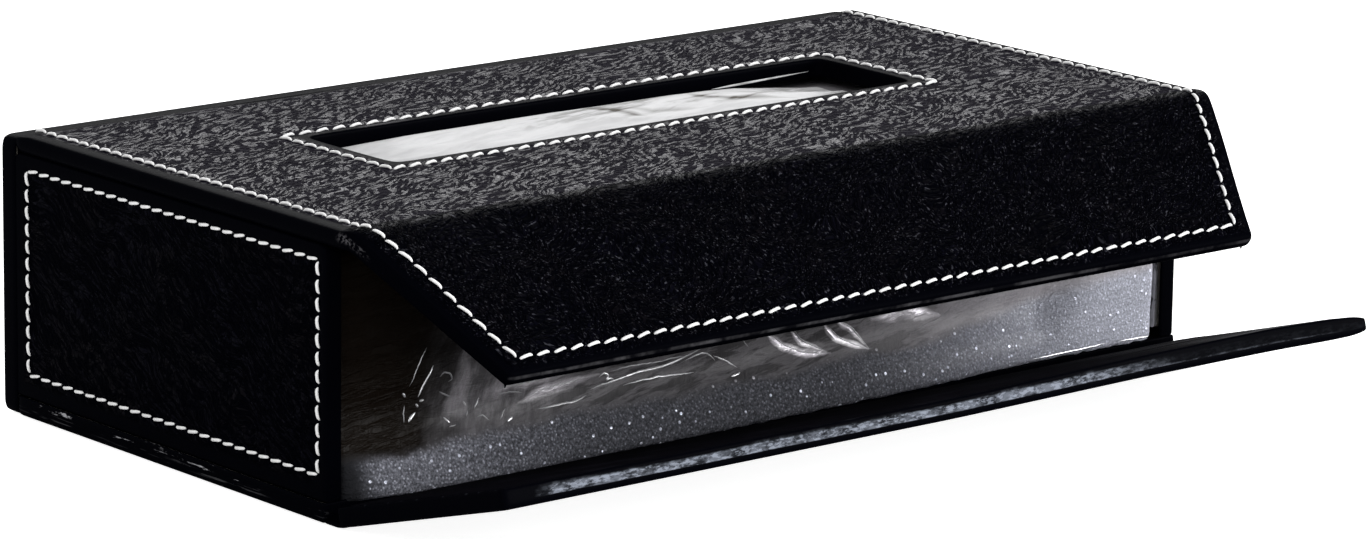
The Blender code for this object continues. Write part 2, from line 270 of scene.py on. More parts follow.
def grained_leather(name="leatherette, black", sealed=1.0, wear_and_highlight=None, top=False):
    """Leatherette with drawn-out pebbles and wrinkles, smooth outside the seams, where it is pulled tight.

    sealed is how much of the grain carries the thin sealer that shines at a low angle, and how many painted
    glints it shows. The function for pale marks gives their share and colour, from the finish and the sheet's
    flat layout: real wear on some pieces, painted highlights on the wrap. top is for the wrap, whose part
    behind the fold gets lighter, more violet colours, a painted sheen for the light that grazes the top.
    """
    done = Finish(name, Specular_IOR_Level=LEATHER_SHEEN, Coat_IOR=SEALER_IOR, Coat_Roughness=0.26)
    where = done.stored("lay", "Vector")
    edge = done.stored("edge")
    behind = 1 - layout(done, where)[1].ramp(-1.3, -0.3)
    kept = (edge + (1 - behind) * 1.5 * top).ramp(2.7, 4.3)
    sway = done.noise(where, 45.0, 2.0, output="Color")
    swayed = done.shifted(where, sway, 0.015)
    short = done.drawn_out(swayed, 2.1, GRAIN_TURN)
    pebble = done.cells(short, GRAIN_CELLS, "SMOOTH_F1")
    crack = done.cells(short, GRAIN_CELLS, "DISTANCE_TO_EDGE")
    own = done.cells(short, GRAIN_CELLS, output="Color")
    wrinkle = done.noise(done.drawn_out(swayed, 5.2, GRAIN_TURN), 1020.0, 2.0, 0.5)
    fine = done.noise(swayed, 1500.0, 3.0)
    broad = done.noise(where, 42.0, 3.0)
    patch = done.noise(where, 75.0, 3.0, 0.6)
    dome = 1 - pebble * 1.25
    grain = (dome * (0.55 + 0.7 * patch) + crack.ramp(0.0, 0.20) * 0.35 + fine * 0.22) * (kept * 0.93 + 0.07)
    relief = done.bump(grain, 1.0, 0.0008)
    done.set("Normal", done.bump(broad, 0.25, 0.0012, relief))
    tops = crack.ramp(0.02, 0.10) * kept
    lines = wrinkle.ramp(0.508, 0.560) * (0.70 + 0.30 * fine.ramp(0.42, 0.56))
    peaks = tops * (0.45 + 0.20 * own.ramp(0.30, 0.74)) * (0.02 + 0.90 * lines)
    peaks = (peaks * (0.66 + 0.24 * patch.ramp(0.30, 0.72))).clamped()
    # Painted glints: sparse pale specks in the base colour, for light catching the grain
    painted_glints = fine.ramp(0.59, 0.68) * (0.35 + 0.65 * lines) * (0.6 + 0.4 * patch.ramp(0.36, 0.60))
    painted_glints = painted_glints * kept * sealed * sealed
    shine = peaks * sealed + 0.04 * (1 - kept)
    dark, hue = LEATHER_DARK, done.mix(broad.ramp(0.42, 0.60), LEATHER_BLUE, LEATHER_BROWN)
    # Painted sheen: behind the fold the top takes lighter, more violet colours, for the light that grazes it
    if top:
        shine = shine * (0.30 + 0.70 * behind)
        dark, hue = done.mix(behind * kept, dark, TOP_PAINTED_SHEEN_DARK), done.mix(behind * kept, hue, TOP_PAINTED_SHEEN_VIOLET)
    colour = done.mix(painted_glints.clamped(), done.mix(peaks, dark, hue), LEATHER_PAINTED_GLINT)
    roughness = 0.50 - 0.08 * kept + 0.16 * (fine - 0.5)
    # Pale marks: real wear on the base and the wall, painted highlights on the wrap
    if wear_and_highlight:
        share, pale = wear_and_highlight(done, where)
        colour = done.mix(share, colour, pale)
        roughness = roughness + share * 0.2
    done.set("Base Color", colour)
    done.set("Coat Weight", shine.clamped())
    done.set("Roughness", roughness.clamped())
    return done.material


def layout(done, where):
    """The flat layout's x, y and depth below the face, in millimetres."""
    x, y, n = done.millimetres(where, "XYZ")
    return x, y, n * -1


def flap_edge_highlights(done, where):
    """Painted highlights: a broken pale line on the flap's edge and one in the slot, and a scratchy streak at
    the fold's left end.
    """
    x, s, down = layout(done, where)
    breaks = done.noise(where, 70.0, 4.0, 0.65)
    line = down.ramp(1.0, 1.3) * (1 - down.ramp(1.6, 2.0)) * s.ramp(FREE_EDGE - 0.8, FREE_EDGE - 0.2)
    line = line * (0.05 + breaks.ramp(0.40, 0.62)) * (1 - x.ramp(20.0, 110.0) * 0.6)
    streak_breaks = done.noise(done.drawn_out(where, 0.16, 0), 1400.0, 3.0, 0.6).ramp(0.46, 0.60)
    fold_highlight = (1 - x.ramp(-119.8, -118.6)) * s.ramp(-2.5, 0.5) * (1 - s.ramp(4.0, 8.5)) * down.ramp(0.3, 1.0)
    fold_highlight = fold_highlight * (1 - down.ramp(1.8, 3.2)) * streak_breaks * 0.8
    left, _, back, _ = SLOT
    long_hem_highlight = x.ramp(left - 1, left + 3) * (1 - x.ramp(-52.0, -40.0))
    short_hem_highlight = x.ramp(-4.0, -2.0) * (1 - x.ramp(0.0, 3.0))
    hem_highlight = (long_hem_highlight + short_hem_highlight).clamped() * s.ramp(back - 1.4, back - 1.0)
    hem_highlight = hem_highlight * (1 - s.ramp(back - 0.6, back - 0.2)) * breaks.ramp(0.38, 0.55)
    # The painted highlights' pale colour
    return (line * 0.7 + fold_highlight + hem_highlight * 0.8).clamped(), (0.085, 0.083, 0.090, 1)


def base_edge(done, where):
    """White nicks and thin rubbed lines along the base's left edge, and a few specks of dust."""
    x, _, down = layout(done, where)
    left = 1 - x.ramp(-119.6, -118.6)
    nicks = done.noise(done.stretched(where, (1.0, 0.30, 2.6)), 420.0, 4.0, 0.7)
    spread = done.noise(where, 34.0, 2.0)
    line = down.ramp(2.5, 3.1) * nicks.ramp(0.60, 0.66) * spread.ramp(0.42, 0.60)
    thin = done.noise(done.stretched(where, (1.0, 0.10, 2.2)), 800.0, 3.0, 0.6)
    specks = 1 - done.cells(where, 95.0).ramp(0.035, 0.05)
    dust = specks * done.cells(where, 95.0, output="Color").ramp(0.50, 0.56)
    dust = dust * down.ramp(0.5, 1.0) * (1 - x.ramp(-80.0, -60.0))
    faint = down.ramp(0.6, 1.2) * (1 - down.ramp(2.4, 3.0)) * thin.ramp(0.56, 0.66)
    faint = faint * spread.ramp(0.35, 0.6) * 0.10
    return ((line + faint) * left + dust).clamped(), (0.50, 0.50, 0.53, 1)


def wall_edge(done, where):
    """The wall's free edge, scuffed to a mottled grey-blue that thins to one low line beyond its middle."""
    along, reach, down = layout(done, where)
    fibre = done.noise(done.drawn_out(where, 2.4, 12), 1100.0, 5.0, 0.65)
    blotch = done.noise(done.stretched(where, (0.6, 1.0, 1.0)), 260.0, 4.0, 0.7)
    sway = done.noise(where, 35.0, 3.0) - 0.5
    start = (along + sway * 6).ramp(-113.0, -106.0)
    wide = (down + sway * 0.6).ramp(1.05, 1.35) * (1 - (down + sway * 1.8).ramp(3.0, 3.9))
    wide = wide * (1 - (along + sway * 30).ramp(28.0, 66.0) * 0.985)
    thin = down.ramp(1.1, 1.3) * (1 - (down + sway).ramp(1.4, 1.8))
    thin = thin * along.ramp(20.0, 60.0) * (1 - along.ramp(98.0, 116.0))
    worn = (wide + thin * 0.16) * start * reach.ramp(WALL_REACH - 1.6, WALL_REACH - 0.7)
    mottled = 0.05 + blotch.ramp(0.38, 0.64) * 0.50 + fibre.ramp(0.46, 0.60) * 0.70
    streaks = done.noise(done.stretched(where, (0.05, 1.0, 1.0)), 500.0, 3.0, 0.6)
    inner = down.ramp(4.0, 4.3) * streaks.ramp(0.58, 0.66) * 0.05
    return (worn * mottled + inner).clamped(), WALL_SCUFF


def cloth_lining(name="lining, black", streaked=False):
    """Black cloth; streaked is for the front wall, whose right end is rubbed in pale streaks."""
    done = Finish(name, Specular_IOR_Level=0.004)
    where = done.place()
    weave = done.cells(where, 2200.0, randomness=0.35)
    fibre = done.noise(where, 700.0, 5.0)
    wear = done.noise(where, 60.0, 4.0)
    done.set("Normal", done.bump(weave * 0.6 + fibre * 0.6, 0.5, 0.00018))
    colour = done.mix(wear.ramp(0.45, 0.75), (0.0018, 0.0017, 0.0028, 1), (0.0060, 0.0058, 0.0085, 1))
    if streaked:
        (x,) = done.millimetres(where, "X")
        streaks = done.noise(done.stretched(where, (0.05, 1.0, 1.0)), 420.0, 3.0, 0.6).ramp(0.50, 0.60)
        colour = done.mix(streaks * x.ramp(62.0, 92.0) * (0.5 + fibre), colour, (0.085, 0.085, 0.092, 1))
    done.set("Base Color", colour)
    done.set("Roughness", (0.80 + 0.2 * (fibre - 0.5)).clamped())
    return done.material


def end_lining():
    """The ends' lining, pale along its front margin: worn pale, and painted paler still as painted light
    where the lamps barely reach it; dark marks break up the margin.
    """
    done = Finish("lining, black, rubbed", Specular_IOR_Level=0.08)
    where = done.place()
    (y,) = done.millimetres(where, "Y")
    fibre = done.noise(where, 700.0, 5.0)
    marks = done.noise(done.stretched(where, (1.0, 3.0, 1.0)), 210.0, 3.0)
    margin = 1 - (y + (fibre - 0.5) * 2.5).ramp(-52.0, -50.4)
    # Painted light: the front margin's pale colour is raised past the worn lining's to make up for little
    # lamp light there
    pale = (margin * (0.55 + 0.5 * fibre) * (1 - marks.ramp(0.54, 0.62) * 0.85)).clamped()
    done.set("Normal", done.bump(fibre + marks * 0.5, 0.4, 0.0003))
    done.set("Base Color", done.mix(pale, (0.003, 0.003, 0.0035, 1), (0.80, 0.79, 0.80, 1)))
    done.set("Roughness", (0.80 + 0.2 * (fibre - 0.5)).clamped())
    return done.material


def thread_finish():
    """White thread, a little soiled, with its twist as slanting bands."""
    done = Finish("thread, white", Specular_IOR_Level=0.3)
    where = done.place()
    values = {"Vector": where, "Scale": 900.0, "Distortion": 1.5, "Detail": 1.0}
    ply = done.node("ShaderNodeTexWave", values, wave_type="BANDS", bands_direction="DIAGONAL")
    soil = done.noise(where, 90.0, 3.0)
    done.set("Normal", done.bump(ply, 0.35, 0.00006))
    done.set("Base Color", done.mix(soil.ramp(0.4, 0.8), (0.98, 0.98, 0.98, 1), (0.88, 0.88, 0.88, 1)))
    done.set("Roughness", 0.62 + 0.2 * (ply - 0.5))
    return done.material


def tissue_finish():
    """Creped tissue, with painted shade: grey in soft patches and towards its left tip, brown-grey along its
    folds towards the back of the slot.
    """
    done = Finish("tissue, white", Specular_IOR_Level=0.1)
    where = done.place()
    crepe = done.noise(done.stretched(where, (1.0, 3.2, 1.0)), 900.0, 4.0, 0.6)
    soft = done.noise(where, 130.0, 4.0)
    done.set("Normal", done.bump(crepe * 0.5 + soft, 0.35, 0.0003))
    x, y = done.millimetres(where, "XY")
    sway = done.noise(where, 60.0, 3.0, output="Color")
    pulled = done.noise(done.drawn_out(done.shifted(where, sway, 0.006), 6.0, 13), 260.0, 4.0, 0.6)
    # Painted shade: brown-grey along the tissue's folds, towards the back of the slot
    painted_fold_shade = pulled.ramp(0.50, 0.66) * y.ramp(-4.0, 5.0) * x.ramp(-36.0, -8.0) * 0.45
    painted_fold_shade = painted_fold_shade + soft_bands(x, y, TISSUE_FOLDS) * (0.5 + pulled)
    # Painted shade: grey in soft patches and towards the tissue's left tip
    faint = pulled.ramp(0.35, 0.70) * 0.30
    tip = (1 - (x - y * 0.4).ramp(-74.0, -48.0)) * 0.50
    pale = done.mix((faint + tip).clamped(), (0.74, 0.74, 0.75, 1), (0.30, 0.30, 0.31, 1))
    done.set("Base Color", done.mix(painted_fold_shade.clamped(), pale, (0.085, 0.078, 0.066, 1)))
    done.set("Roughness", 0.9 + 0.15 * (crepe - 0.5))
    return done.material


def folded_stack():
    """The stack's sides show the edges of its folded sheets."""
    done = Finish("tissue stack, white", Specular_IOR_Level=0.1)
    where = done.place()
    leaves = done.noise(done.stretched(where, (0.035, 0.035, 1.0)), 1500.0, 3.0, 0.6)
    soft = done.noise(where, 45.0, 4.0)
    done.set("Normal", done.bump(leaves + soft * 1.5, 0.5, 0.0005))
    done.set("Base Color", done.mix(leaves.ramp(0.3, 0.7), (0.66, 0.66, 0.66, 1), (0.84, 0.84, 0.835, 1)))
    done.set("Roughness", 0.92 + 0.1 * (leaves - 0.5))
    return done.material


# Painted highlights along the film's folds: width in millimetres, brightness, and the points x, z of each
# soft band
FILM_RIBBON_HIGHLIGHTS = (
    (1.4, 0.62, ((1.8, 21.2), (6.2, 17.9), (11.6, 15.7), (18.9, 14.7))),
    (1.1, 0.60, ((8.2, 21.3), (11.6, 17.9), (18.6, 14.6))),
    (1.2, 0.74, ((17.5, 21.6), (20.9, 17.7), (24.4, 15.8), (29.5, 13.9))),
    (1.1, 0.62, ((21.0, 21.3), (25.0, 19.1), (29.7, 14.0))),
    (2.8, 0.54, ((31.9, 20.1), (40.9, 20.3), (51.6, 18.6))),
    (1.8, 0.36, ((-72.8, 20.0), (-60.8, 20.9), (-54.5, 20.9))),
    (2.0, 0.42, ((-67.1, 16.6), (-59.2, 18.3), (-45.0, 19.4))),
)

# The shaded folds of the tissue in the slot, in x and y
TISSUE_FOLDS = (
    (3.4, 0.75, ((1.0, 11.5), (5.4, 7.7), (6.1, 3.0), (7.6, -2.2))),
    (2.8, 0.40, ((6.8, 9.5), (12.4, 0.8), (25.6, -2.2))),
    (3.6, 0.70, ((31.0, 11.8), (32.6, 6.0), (36.1, 2.2), (52.3, -1.4))),
    (3.0, 0.40, ((40.0, 9.0), (49.0, 5.5), (60.0, 2.8))),
)

# The film's narrow ridges, which carry painted highlights where the light catches them, written as its folds
# are
FILM_CREASE_HIGHLIGHTS = (
    (0.30, 0.45, ((-90.6, 32.4), (-93.5, 27.4), (-95.5, 23.5))),
    (0.60, 1.00, ((-88.7, 28.2), (-90.9, 24.9), (-92.9, 21.3))),
    (0.30, 0.40, ((-96.2, 20.6), (-96.6, 18.8), (-96.8, 16.8))),
    (0.70, 1.00, ((-93.5, 18.6), (-94.6, 17.9), (-95.7, 16.8))),
    (0.70, 0.70, ((-96.7, 23.1), (-95.8, 22.0))),
    (0.60, 0.60, ((-92.5, 20.7), (-91.2, 20.9))),
    (0.60, 0.70, ((-93.3, 20.4), (-92.8, 19.5))),
    (0.50, 0.90, ((-86.6, 16.6), (-85.2, 15.1))),
    (0.30, 0.40, ((-85.9, 14.5), (-83.8, 14.7))),
    (0.60, 0.50, ((-81.1, 19.0), (-80.3, 17.9))),
    (0.30, 0.35, ((-80.1, 17.0), (-80.9, 15.8))),
    (0.35, 0.60, ((-78.6, 17.0), (-76.9, 19.3))),
    (0.35, 0.45, ((-72.8, 14.0), (-70.5, 16.2))),
    (0.80, 0.80, ((-71.1, 13.5), (-69.1, 14.1))),
    (0.35, 0.35, ((-78.4, 15.4), (-76.8, 15.7), (-75.2, 14.2))),
    (0.35, 0.35, ((-72.8, 20.3), (-66.8, 20.5), (-60.8, 20.9), (-54.5, 20.9))),
    (0.40, 0.40, ((-67.1, 16.8), (-63.5, 17.9), (-59.2, 18.5), (-51.5, 18.9), (-45.0, 19.6))),
    (0.50, 0.55, ((-63.0, 14.7), (-57.8, 14.8), (-52.0, 14.8), (-48.6, 15.7))),
    (0.65, 0.85, ((-45.4, 18.6), (-43.8, 19.5), (-42.4, 18.7), (-43.2, 17.9), (-41.5, 18.0), (-40.7, 17.2))),
    (0.65, 0.60, (
        (-48.9, 16.1), (-46.8, 16.8), (-40.0, 17.4), (-34.5, 18.1),
        (-28.9, 18.4), (-23.3, 18.9), (-15.7, 21.2),
    )),
    (0.40, 0.45, ((-43.0, 19.4), (-36.8, 19.8), (-29.7, 19.5), (-25.0, 19.9), (-20.3, 19.6))),
    (0.45, 0.70, ((-39.5, 15.9), (-34.0, 16.4), (-28.5, 16.4), (-18.2, 15.8))),
    (0.45, 0.55, ((-21.8, 18.5), (-16.7, 19.7), (-14.5, 19.0), (-12.5, 17.1))),
    (0.35, 0.30, ((-72.9, 19.0), (-69.3, 19.4), (-65.3, 18.5))),
    (0.50, 0.25, ((-87.6, 25.0), (-86.4, 26.1), (-84.8, 25.6), (-84.2, 24.2), (-85.5, 23.7))),
    (0.50, 0.20, ((-88.1, 22.4), (-86.4, 21.4), (-84.2, 20.4))),
    (0.40, 0.60, ((-13.6, 18.8), (-9.5, 16.7), (-7.0, 15.0))),
    (0.60, 0.90, ((-9.7, 13.6), (-6.6, 14.2))),
    (0.40, 0.30, ((-5.4, 21.2), (-3.4, 18.8))),
    (0.35, 0.45, ((2.6, 21.2), (7.2, 17.7), (12.2, 15.5), (19.2, 14.6))),
    (0.35, 0.35, ((9.2, 21.0), (12.4, 17.9), (18.8, 14.6))),
    (0.35, 0.50, ((18.4, 21.2), (21.7, 17.7), (25.0, 15.9), (29.9, 13.8))),
    (0.35, 0.50, ((21.8, 21.2), (25.8, 19.1), (28.0, 16.4), (30.0, 13.9))),
    (0.30, 0.25, ((55.7, 19.8), (53.7, 18.3), (49.9, 17.1), (43.6, 16.0))),
    (0.60, 1.00, ((74.7, 5.2), (83.0, 5.25), (92.0, 5.3), (100.4, 5.6))),
    (0.60, 1.00, ((102.4, 5.4), (110.1, 5.25), (114.4, 5.2))),
)


def soft_bands(x, z, lines):
    """Bands that thin out at their two ends, for painted highlights and painted shade along the folds of a
    thin sheet.
    """
    ribbons = None
    for width, strength, points in lines:
        last = len(points) - 2
        for i, ((ax, az), (bx, bz)) in enumerate(zip(points, points[1:])):
            dx, dz = bx - ax, bz - az
            square = dx * dx + dz * dz
            share = (x * (dx / square) + z * (dz / square) - (ax * dx + az * dz) / square).clamped()
            off_x, off_z = x - ax - share * dx, z - az - share * dz
            off = (off_x * off_x + off_z * off_z) ** 0.5 * (1.3 / width)
            if i == 0:
                off = off + (1 - share.ramp(0.0, 0.7)) * 0.7
            if i == last:
                off = off + share.ramp(0.3, 1.0) * 0.7
            band = (1 - off).clamped() * strength
            ribbons = band if ribbons is None else ribbons.math("MAXIMUM", band)
    return ribbons


def crease_highlight_finish():
    """Painted highlights on the ridges of the film: pale in colour and partly metal, they mirror the pale
    room where the light catches them.
    """
    done = Finish("film, clear, painted_crease_highlights", Specular_IOR_Level=0.2, Coat_Roughness=0.16, Coat_IOR=1.5)
    where = done.place()
    highlight_strength = done.stored("highlight_strength") * (0.55 + 0.9 * done.noise(where, 900.0, 3.0))
    done.set("Base Color", done.mix(highlight_strength.clamped(), (0.10, 0.10, 0.11, 1), (0.93, 0.93, 0.97, 1)))
    done.set("Metallic", highlight_strength.ramp(0.2, 0.9) * 0.85)
    done.set("Coat Weight", highlight_strength.clamped())
    done.set("Roughness", 0.42 - 0.12 * highlight_strength.clamped())
    done.set("Normal", done.bump(done.noise(where, 1400.0, 2.0), 0.3, 0.0002))
    return done.material


def film_finish():
    """Clear pack film: painted brown shade over its left, haze and drawn creases with painted highlights
    above, fine pale specks below, lighter towards its right as painted light.
    """
    done = Finish("film, clear", Specular_IOR_Level=0.05, Coat_Roughness=0.16, Coat_IOR=1.5)
    where = done.place()
    sway = done.noise(where, 90.0, 3.0, output="Color")
    swayed = done.shifted(where, sway, 0.0022)
    x, z = done.millimetres(swayed, "XZ")
    face = done.node("ShaderNodeCombineXYZ", [x, z, 0.0])
    cloud = done.noise(done.stretched(where, (0.8, 1.0, 1.6)), 38.0, 5.0, 0.6)
    wisps = done.noise(done.drawn_out(face, 2.8, 66), 0.22, 5.0, 0.66)
    pulls = done.noise(done.drawn_out(face, 6.0, 8), 0.40, 4.0, 0.62)
    fine = done.noise(where, 1700.0, 2.0)
    grit = done.cells(where, 1150.0)
    drops = done.cells(where, 420.0)
    wet = done.cells(where, 420.0, output="Color")
    uneven = done.noise(swayed, 260.0, 3.0)
    # Painted highlights: pale bands along the film's folds, in colour, coat and metal
    crease_highlights = soft_bands(x, z, FILM_RIBBON_HIGHLIGHTS) * (0.45 + 1.3 * uneven)
    lower = 12.2 + x.ramp(35.0, 110.0, 0.0, 9.0) + (cloud - 0.5) * 6
    frost = 1 - (z - lower).ramp(-1.4, 1.6)
    left = 1 - (x + (wisps - 0.5) * 14 + (z - 20) * -0.25).ramp(-98.0, -80.0)
    far_left = 1 - x.ramp(-113.0, -104.0)
    right = x.ramp(15.0, 110.0)
    # Painted shade: the film's upper left, above the specks, takes a dark brown colour
    painted_brown_shade = left * (1 - frost)
    clear = (1 - frost) * (1 - painted_brown_shade)
    hazy = 1 - x.ramp(-70.0, -48.0)
    folds = (1 - (pulls - 0.52).math("ABSOLUTE") * 11).clamped()
    grains = (1 - grit.ramp(0.12, 0.42)) * 0.6 + fine * fine * 1.2
    beads = (1 - drops.ramp(0.11, 0.19)) * wet.ramp(0.38, 0.47)
    bright_end = 1 - x.ramp(-95.0, -35.0)
    smoke = wisps.ramp(0.34, 0.74) * 0.32 * z.ramp(11.0, 22.0, 0.35, 1.0)
    smoke = 0.05 + smoke * x.ramp(-96.0, -78.0, 0.35, 1.0)
    pulled = 0.02 + pulls.ramp(0.38, 0.66) * 0.08 + folds * 0.06 * (1 - right)
    veil = clear * (hazy * smoke + (1 - hazy) * pulled)
    tone = 0.035 + veil * (0.5 + cloud) * z.ramp(24.0, 32.0, 1.0, 0.6)
    # Painted light: the film and its specks grow lighter towards its right, where more light reaches it
    tone = tone + right * (0.10 + 0.42 * cloud + 0.24 * fine)
    crumbs = grains * (0.26 + 0.26 * bright_end + 0.26 * right) * (1 - far_left)
    tone = tone * (1 - frost * (0.50 - 0.45 * right)) + frost * crumbs
    tone = tone + frost * beads * 1.2
    tone = tone * (1 - painted_brown_shade * 0.94) + crease_highlights
    chill = done.mix(frost, (0.93, 0.89, 0.96, 1), (0.84, 0.86, 1.0, 1))
    grey = done.mix(tone.clamped(), (0.0, 0.0, 0.0, 1), chill)
    # Painted shade: dark brown where the film is shaded, except on its painted highlights
    painted_shade_share = painted_brown_shade * (1 - crease_highlights.clamped()) * 0.92
    done.set("Base Color", done.mix(painted_shade_share, grey, (0.0066, 0.0042, 0.0026, 1)))
    done.set("Metallic", (crease_highlights * 0.9 + frost * beads * 0.8).clamped())
    done.set("Coat Weight", (crease_highlights + veil * 0.3 + right * 0.10).clamped())
    done.set("Roughness", (0.34 + 0.30 * frost * (1 - beads) + 0.1 * fine).clamped())
    ruck = wisps * 0.8 + folds * 0.25 + crease_highlights * 0.6 + frost * (grains * 0.3 + beads * 0.5)
    done.set("Normal", done.bump(ruck, 0.6, 0.0010))
    return done.material


def grey_board():
    """Grey board, as far as it shows between leather and lining."""
    done = Finish("board, grey", Specular_IOR_Level=0.3)
    where = done.place()
    pulp = done.noise(where, 900.0, 5.0)
    fleck = done.cells(where, 420.0)
    done.set("Normal", done.bump(pulp, 0.5, 0.0002))
    done.set("Base Color", done.mix(fleck.ramp(0.1, 0.5), (0.20, 0.19, 0.17, 1), (0.33, 0.31, 0.27, 1)))
    done.set("Roughness", 0.88 + 0.1 * (pulp - 0.5))
    return done.material


def plated_steel():
    """The magnets and keepers."""
    done = Finish("steel, plated", Metallic=1.0)
    where = done.place()
    brushed = done.noise(done.stretched(where, (1.0, 14.0, 1.0)), 700.0, 4.0)
    done.set("Normal", done.bump(brushed, 0.2, 0.00005))
    done.set("Base Color", done.mix(brushed, (0.52, 0.52, 0.51, 1), (0.68, 0.68, 0.66, 1)))
    done.set("Roughness", 0.26 + 0.2 * brushed)
    return done.material


# Sheets of leather, laid out flat and then bent to their place


def spaced(start, end, step):
    """Even lines from start up to, but without, end."""
    count = max(1, round(abs(end - start) / step))
    return [start + (end - start) * i / count for i in range(count)]


def towards(start, end, insets):
    """Lines near an edge, as distances from it, going inwards from start when end is on the other side."""
    sign = 1 if end > start else -1
    return [start + sign * inset for inset in insets]


def rounded_corner(a, b, radius):
    """Insets from two sides, with the square corner between the sides drawn to an arc."""
    u, v = radius - a, radius - b
    if u <= 0 or v <= 0 or radius <= 0:
        return a, b
    share = max(u, v) / math.hypot(u, v)
    return radius - u * share, radius - v * share


# How far a cage stands outside the leather, which rounding draws in; then the insets of a sheet's lines
# from its edge, with the heights there, and the turns round the edge as insets and heights
OVER = 0.3
EDGE_WIDTH = 6.2
EDGE_INSETS = (0.0, 0.45, 1.3, 2.4, 3.7, SIDE_SEAM, EDGE_WIDTH)
EDGE_FALL = (
    (0.0, -1.15), (0.45, -0.45), (1.3, -0.22), (2.4, -0.08), (3.7, 0.0),
    (SIDE_SEAM, -0.22), (EDGE_WIDTH, 0.0),
)
PLAIN_INSETS = (0.0, 0.3, 0.9, 2.2, 4.2)
PLAIN_FALL = ((0.0, -0.60), (0.3, -0.20), (0.9, -0.04), (2.2, 0.0))
SOFT_RIM = ((0.0, -2.8), (0.35, -3.6), (0.9, -4.2), (1.5, -PANEL))
SQUARE_RIM = ((0.0, -3.8), (0.15, -4.35), (0.7, -PANEL))
DEEP_RIM = ((0.0, -4.2), (0.05, -4.9), (0.6, -5.2))


def fall(table, inset):
    return between(inset, *zip(*table))


class Sheet:
    """A cage of leather in its flat layout (x, y, n), n being the height over the leather's outer face."""

    def __init__(self, columns, rows, open_low=False):
        self.bm = bmesh.new()
        self.low = Vector((columns[0], rows[0]))
        self.high = Vector((columns[-1], rows[-1]))
        self.open_low = open_low
        self.hole = None
        bmesh.ops.create_grid(self.bm, x_segments=len(columns) - 1, y_segments=len(rows) - 1, size=0.5)
        for vert in self.bm.verts:
            i = round((vert.co.x + 0.5) * (len(columns) - 1))
            j = round((vert.co.y + 0.5) * (len(rows) - 1))
            vert.co = (columns[i], rows[j], 0)

    def insets(self, point):
        """Distances from the nearer side in x and in y."""
        across = min(point.x - self.low.x, self.high.x - point.x)
        along = self.high.y - point.y
        if not self.open_low:
            along = min(along, point.y - self.low.y)
        return across, along

    def from_edge(self, point):
        """Distance from the nearest edge, the hole's among them."""
        nearest = min(self.insets(point))
        if self.hole:
            left, right, low, high = self.hole
            outset = max(left - point.x, point.x - right, low - point.y, point.y - high, 0)
            nearest = min(nearest, outset + 1.2)
        return nearest

    def cut_hole(self, left, right, low, high):
        self.hole = (left, right, low, high)
        within = []
        for face in self.bm.faces:
            middle = face.calc_center_median()
            if left < middle.x < right and low < middle.y < high:
                within.append(face)
        bmesh.ops.delete(self.bm, geom=within, context="FACES")

    def edge_ring(self, wanted):
        return [edge for edge in self.bm.edges if edge.is_boundary and all(map(wanted, edge.verts))]

    def drawn_on(self, ring):
        """Extrudes a ring of edges in place; gives the new vertices and the new ring."""
        made = bmesh.ops.extrude_edge_only(self.bm, edges=ring)["geom"]
        verts = {item for item in made if isinstance(item, bmesh.types.BMVert)}
        edges = [item for item in made if isinstance(item, bmesh.types.BMEdge)]
        return verts, [edge for edge in edges if set(edge.verts) <= verts]

    def turn_rim(self, steps):
        """Leather turned round the outer edge: each step is an inset and a height."""
        def outermost(vert):
            across, along = self.insets(vert.co)
            return min(across, along) < 0.001

        ring = []
        for edge in self.edge_ring(outermost):
            middle = (edge.verts[0].co + edge.verts[1].co) / 2
            if min(self.insets(middle)) < 0.001:
                ring.append(edge)
        for inset, height in steps:
            verts, ring = self.drawn_on(ring)
            low_y = self.low.y if self.open_low else self.low.y + inset
            for vert in verts:
                vert.co.x = min(max(vert.co.x, self.low.x + inset), self.high.x - inset)
                vert.co.y = min(max(vert.co.y, low_y), self.high.y - inset)
                vert.co.z = height

    def laid(self, name, place, radii, material, bodies, nodes, levels=2):
        """Bends the sheet to its place, gives it its thickness and rounds it.

        radii are those of the corners at low y and at high y.
        """
        bm = self.bm
        lay = bm.verts.layers.float_vector.new("lay")
        edge = bm.verts.layers.float.new("edge")
        bmesh.ops.recalc_face_normals(bm, faces=bm.faces)
        flat = max(bm.faces, key=lambda face: face.calc_area())
        if (flat.normal.z < 0) != mirrors(place):
            bmesh.ops.reverse_faces(bm, faces=bm.faces)
        for vert in bm.verts:
            x, y, height = vert.co
            across, along = self.insets(vert.co)
            radius = radii[1] if self.high.y - y < y - self.low.y else radii[0]
            vert[lay] = vert.co * MM
            vert[edge] = self.from_edge(vert.co)
            new_across, new_along = rounded_corner(across, along, radius)
            x += (new_across - across) * (1 if x < 0 else -1)
            y += (new_along - along) * (1 if self.high.y - y > y - self.low.y else -1)
            vert.co = Vector(place(x, y, height)) * MM
        mesh = bpy.data.meshes.new(name + "_cage")
        bm.to_mesh(mesh)
        bm.free()
        cage = linked(name + "_cage", mesh)
        shell = cage.modifiers.new("Thickness", "SOLIDIFY")
        shell.thickness = LEATHER * MM
        shell.offset = -1
        shell.use_even_offset = False
        smooth = cage.modifiers.new("Smooth", "SUBSURF")
        smooth.levels = smooth.render_levels = levels
        dressed(applied(cage, name), material, bodies, nodes)


def mirrors(place):
    """Whether a layout is mirrored as it is put in place, so that its faces turn inside out."""
    at = Vector(place(0, 9, 0))
    x, y, n = (Vector(place(*step)) - at for step in ((1, 9, 0), (0, 10, 0), (0, 9, 1)))
    return x.cross(y).dot(n) < 0


